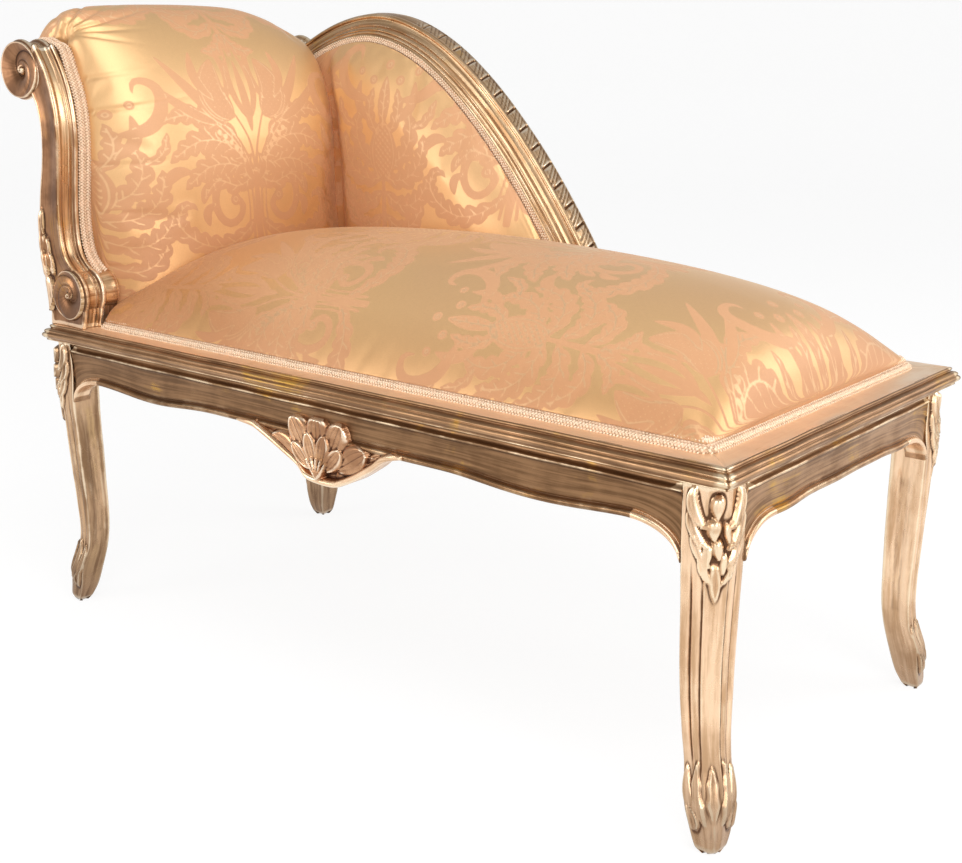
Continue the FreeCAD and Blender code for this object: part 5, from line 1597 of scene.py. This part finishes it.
def head_rings():
    """Sections from the front stile to the rear one, and where their points lie on the cloth."""
    rings, places = [], []
    for y in np.concatenate([np.linspace(-0.2115, -0.185, 8), np.linspace(-0.185, 0.16, 42)[1:],
                             np.linspace(0.16, 0.2045, 10)[1:]]):
        bulge, lift = eased(head_stations, y)
        front = smooth_curve([(out * mm + b * bulge * head_bulge, up * mm + l * lift * head_lift)
                              for out, up, b, l in head_section], front_points)
        section = np.concatenate([front, np.array(head_behind) * mm])
        turn = running(section)
        rings.append([(head_edge + o, y, seat_top + up) for o, up in section])
        places.append(np.stack([np.full(len(turn), y), turn], axis=-1))
    return np.array(rings), np.array(places)


head_shift = np.array([-0.007, -0.205])
# Direction in degrees, length and depth in mm of each pleat at the top of the braid.
top_pleats = [(104, 70, 4.5), (86, 90, 6.5), (70, 76, 5.5), (54, 96, 7.0), (38, 80, 6.0), (22, 96, 6.5),
              (6, 64, 4.5), (-10, 52, 3.5)]
# Place down the braid, length and depth of the short ones.
side_pleats = [(0.335, 60, 2.6), (0.290, 80, 3.0), (0.215, 50, 2.0), (0.150, 40, 1.6), (0.075, 34, 1.4)]


def head_creases(u, v):
    """Pulls at the top of the braid, and short ones down it."""
    u, v = u - head_shift[0], v - head_shift[1]
    depth = pleats(u, v, (-0.222, 0.405), [(way, reach, deep, 3.2) for way, reach, deep in top_pleats])
    for place, reach, deep in side_pleats:
        depth += pleats(u, v, (-0.216, place), [(6 - 60 * (0.25 - place), reach, deep, 3.4)])
    return depth


rings, places = head_rings()
tacked = tacks(rings, np.s_[:2], np.s_[-2:], np.s_[:, front_points - 1:], np.s_[:, :2])
# Painted shade darkens the head pad towards its bottom, where it meets the seat.
stuffed("pad_head", "head_pad", rings, places + head_shift, tacked, pressure=3.0, cap=7 * mm, slack=0.008,
        painted_pad_shade=lambda x, y, z: (0.67 - z) / 0.13, wrinkle=head_creases)

# %% [markdown]
# The back pad is a shallow dome inside the arch, drawn in along the braid and pressed by the head pad at its left.
# It could be a flat sheet that is inflated, but that bulges most in its middle, while stuffing is laid evenly.

# %% Back pad
back_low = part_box("back_pad")[0]
back_bulge = 30 * mm
back_border = 41 * mm
cover_points = 54
lining_points = 8


def under_arch(border, low):
    """Line that far inside the arch, where it runs towards the foot end, and the x at which it comes down to low."""
    edge = arch_outer + arch_normals(arch_outer) * border
    edge = edge[np.concatenate([[True], np.diff(edge[:, 0]) > 0])]
    return edge, edge[edge[:, 1] > low + 4 * mm][-1, 0]


def back_rings():
    """Upright sections from behind the head pad to the arch's foot, and where their points lie on the cloth."""
    edge, stop = under_arch(back_border, back_low.z)
    start = head_edge + 24 * mm
    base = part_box("back_gimp")[1].y - 5.4 * mm
    rings, places = [], []
    for x in np.concatenate([np.linspace(start, stop - 30 * mm, 62), np.linspace(stop - 30 * mm, stop, 10)[1:]]):
        top = float(np.interp(x, edge[:, 0], edge[:, 1]))
        z = back_low.z + (top - back_low.z) * 0.5 * (1 - np.cos(np.linspace(0, math.pi, cover_points)))
        away = np.sqrt(np.min((x - edge[::6, 0][None]) ** 2 + (z[:, None] - edge[::6, 1][None]) ** 2, axis=1))
        rise = 1 - np.exp(-(away / (26 * mm)) ** 1.1)
        rise *= 1 - 0.35 * np.exp(-((z - back_low.z) / (22 * mm)) ** 2)
        pressed = head_edge + mm * np.interp((z - seat_top) / stile_rise, [0.2, 0.5, 0.7, 0.9, 1.05],
                                             [137, 136, 128, 104, 60])
        rise *= 1 - 0.6 * np.exp(-np.clip((x - pressed) / (7 * mm), 0, 9) ** 1.4)
        y = base - back_bulge * rise
        lining = np.linspace(top - 1 * mm, back_low.z + 1 * mm, lining_points)
        rings.append([(x, *place) for place in zip(y, z)] + [(x, base + 0.4 * mm, place) for place in lining])
        places.append([(x, place) for place in np.concatenate([z, lining])])
    return np.array(rings), np.array(places)


rings, places = back_rings()
tacked = tacks(rings, np.s_[:, cover_points - 1:], np.s_[:, :2], np.s_[:2], np.s_[-2:])
# Painted shade darkens the back pad a little towards its bottom.
stuffed("pad_back", "back_pad", rings, places + np.array([0.291, -0.336]), tacked, pressure=2.0, cap=5 * mm,
        slack=0.002, painted_pad_shade=lambda x, y, z: 0.12 * (0.62 - z) / 0.10)

# %% [markdown]
# Behind, thin panels covered in the same damask close the head and the back. They carry the figure but no stuffing.
# A sheet with Solidify would do, but as a closed skin they take the same helper, and the figure, as the pads do.

# %% Outer panels
panel_depth = 4 * mm
panel_border = 42 * mm
head_panel_curve = [(4.0, 0.02), (2.0, 0.14), (-2.0, 0.30), (3.0, 0.46), (12.0, 0.58), (15.0, 0.68), (8.0, 0.77),
                    (-8.0, 0.81)]


def back_panel_rings():
    """Upright sections from end to end, and where their points lie on the cloth."""
    low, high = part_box("back_outer_panel")
    edge, stop = under_arch(panel_border, low.z)
    rings, places = [], []
    for x in np.linspace(low.x, stop, 230):
        z = np.linspace(low.z, float(np.interp(x, edge[:, 0], edge[:, 1])), 160)
        rings.append([(x, high.y, k) for k in z] + [(x, low.y, k) for k in z[::-20]])
        places.append([(-x, k) for k in z] + [(-x, k) for k in z[::-20]])
    return rings, np.array(places)


def head_panel_rings():
    """Level sections up the stiles' curve, and where their points lie on the cloth."""
    low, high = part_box("head_outer_panel")
    across = np.linspace(low.y - panel_depth, high.y + panel_depth, 170)
    rings, places = [], []
    for x, z in up_stile(head_panel_curve, 130):
        rings.append([(x, y, z) for y in across] + [(x + panel_depth, y, z) for y in across[::-13]])
        places.append([(y, z) for y in across] + [(y, z) for y in across[::-13]])
    return rings, np.array(places)


def covered(name, node, rings, places):
    """Panel under damask."""
    mesh = skin(name, rings)
    figured(mesh, cloth_points(places))
    placed(name, mesh, damask, [node])
    print(name, len(mesh.polygons), "faces")


rings, places = back_panel_rings()
covered("panel_back", "back_outer_panel", rings, places + np.array([-0.24, -0.55]))
rings, places = head_panel_rings()
covered("panel_head", "head_outer_panel", rings, places + np.array([0.0, -0.57]))

# %% [markdown]
# A plain bright floor with a low wall all round, in even light. The lamps are large and soft, as in a studio.
# A white world alone would show no shadow under the feet, and more light on the piece would bleach its gold.

# %% Stage and light
def stage_finish():
    """White to the eye and in reflections, and matt grey-white where light falls on it, so shadows stay."""
    material = bpy.data.materials.new("stage")
    material.use_nodes = True
    tree = material.node_tree
    tree.nodes.clear()
    rays = add(tree, "ShaderNodeLightPath")
    seen = maths(tree, "MAXIMUM", rays.outputs["Is Camera Ray"], rays.outputs["Is Glossy Ray"])
    seen = maths(tree, "MAXIMUM", seen, rays.outputs["Is Transmission Ray"])
    matt = add(tree, "ShaderNodeBsdfDiffuse", {"Color": (0.9, 0.9, 0.9, 1)})
    glow = add(tree, "ShaderNodeEmission", {"Color": (1, 1, 1, 1), "Strength": 1.08})
    share = maths(tree, "MULTIPLY", seen, 0.80)
    mix = add(tree, "ShaderNodeMixShader", {0: share, 1: matt.outputs[0], 2: glow.outputs[0]})
    output = add(tree, "ShaderNodeOutputMaterial")
    tree.links.new(mix.outputs[0], output.inputs[0])
    return material


def stage():
    """Round floor with a low wall that curves up from it."""
    rows = [(0.0, 0.0), (4.0, 0.0), (6.0, 0.0), (6.6, 0.1), (7.0, 0.5), (7.1, 1.2), (7.1, 2.5)]
    points, faces = [(0, 0, 0)], []
    count = 64
    for r, z in rows[1:]:
        points += [(r * math.cos(a), r * math.sin(a), z) for a in (2 * math.pi * k / count for k in range(count))]
    for k in range(count):
        faces.append((0, 1 + k, 1 + (k + 1) % count))
        for i in range(len(rows) - 2):
            a, b = 1 + i * count, 1 + (i + 1) * count
            faces.append((a + k, b + k, b + (k + 1) % count, a + (k + 1) % count))
    mesh = bpy.data.meshes.new("studio_floor")
    mesh.from_pydata(points, [], faces)
    floor = linked("studio_floor", mesh)
    mesh.materials.append(stage_finish())
    shaded(mesh)


def softbox(name, place, target, width, height, power):
    """Large lamp at place that shines at target."""
    lamp = bpy.data.lights.new(name, "AREA")
    lamp.shape = "RECTANGLE"
    lamp.size = width
    lamp.size_y = height
    lamp.energy = power
    holder = linked(name, lamp)
    holder.location = place
    holder.rotation_euler = (Vector(target) - Vector(place)).to_track_quat("-Z", "Y").to_euler()


stage()
world = bpy.data.worlds.new("studio")
world.use_nodes = True
world.node_tree.nodes["Background"].inputs[0].default_value = (1, 1, 1, 1)
world.node_tree.nodes["Background"].inputs[1].default_value = 0.42
bpy.context.scene.world = world
softbox("key", (2.5, -1.9, 1.5), (0, 0, 0.5), 2.4, 1.8, 45)
softbox("left", (-1.7, -3.0, 1.2), (-0.1, 0.25, 0.65), 1.5, 1.3, 26)
softbox("top", (1.0, -0.9, 2.7), (0.1, 0, 0.5), 1.8, 1.8, 28)
softbox("right", (2.4, 1.9, 1.8), (-0.4, 0, 0.6), 1.8, 1.9, 36)
print("lamps", len(bpy.data.lights))

# %% [markdown]
# The hidden frame keeps its CAD shape. Its rails and blocks are plain beech, and its webbing and hessian are jute.
# They could be built again in finer mesh, but what is seen of them, from below, is flat wood and flat cloth.

# %% Frame pieces that keep their CAD shape
def beech():
    """Plain wood with its grain along x and short dark flecks."""
    material, tree, shader, place, along = new_finish("beech")
    grain = noise(tree, stretched(tree, place, 6.0, 90.0, 90.0), 1.0, 5.0, 0.6, 0.4)
    flecks = noise(tree, stretched(tree, place, 60.0, 700.0, 700.0), 1.0, 2.0)
    colour = blended(tree, graded(tree, grain, 0.35, 0.65), (0.40, 0.24, 0.12, 1), (0.62, 0.42, 0.24, 1))
    colour = blended(tree, graded(tree, flecks, 0.55, 0.72, 0.0, 0.5), colour, (0.30, 0.17, 0.09, 1))
    tree.links.new(colour, shader.inputs["Base Color"])
    set_values(shader, Roughness=0.6)
    set_bump(tree, shader, grain, 0.2 * mm, 0.4)
    return material


def jute():
    """Coarse weave from two noises, each stretched along its threads."""
    material, tree, shader, place, along = new_finish("jute")
    warp = noise(tree, stretched(tree, place, 1000.0, 90.0, 300.0), 1.0, 2.0)
    weft = noise(tree, stretched(tree, place, 90.0, 1000.0, 300.0), 1.0, 2.0)
    weave = maths(tree, "MAXIMUM", warp, weft)
    colour = blended(tree, graded(tree, weave, 0.42, 0.66), (0.22, 0.14, 0.07, 1), (0.60, 0.45, 0.27, 1))
    tree.links.new(colour, shader.inputs["Base Color"])
    set_values(shader, Roughness=0.85)
    set_bump(tree, shader, weave, 0.4 * mm, 0.7)
    return material


cad_finish = {"giltwood": gold, "frame_wood": beech(), "damask": damask, "braid": thread, "jute": jute()}
for row in frame["record"]["subparts"]:
    node = frame["nodes"][row["node"]]
    node.data.materials.clear()
    node.data.materials.append(cad_finish[row["material_slot"]])
print("CAD nodes", len(frame["nodes"]))
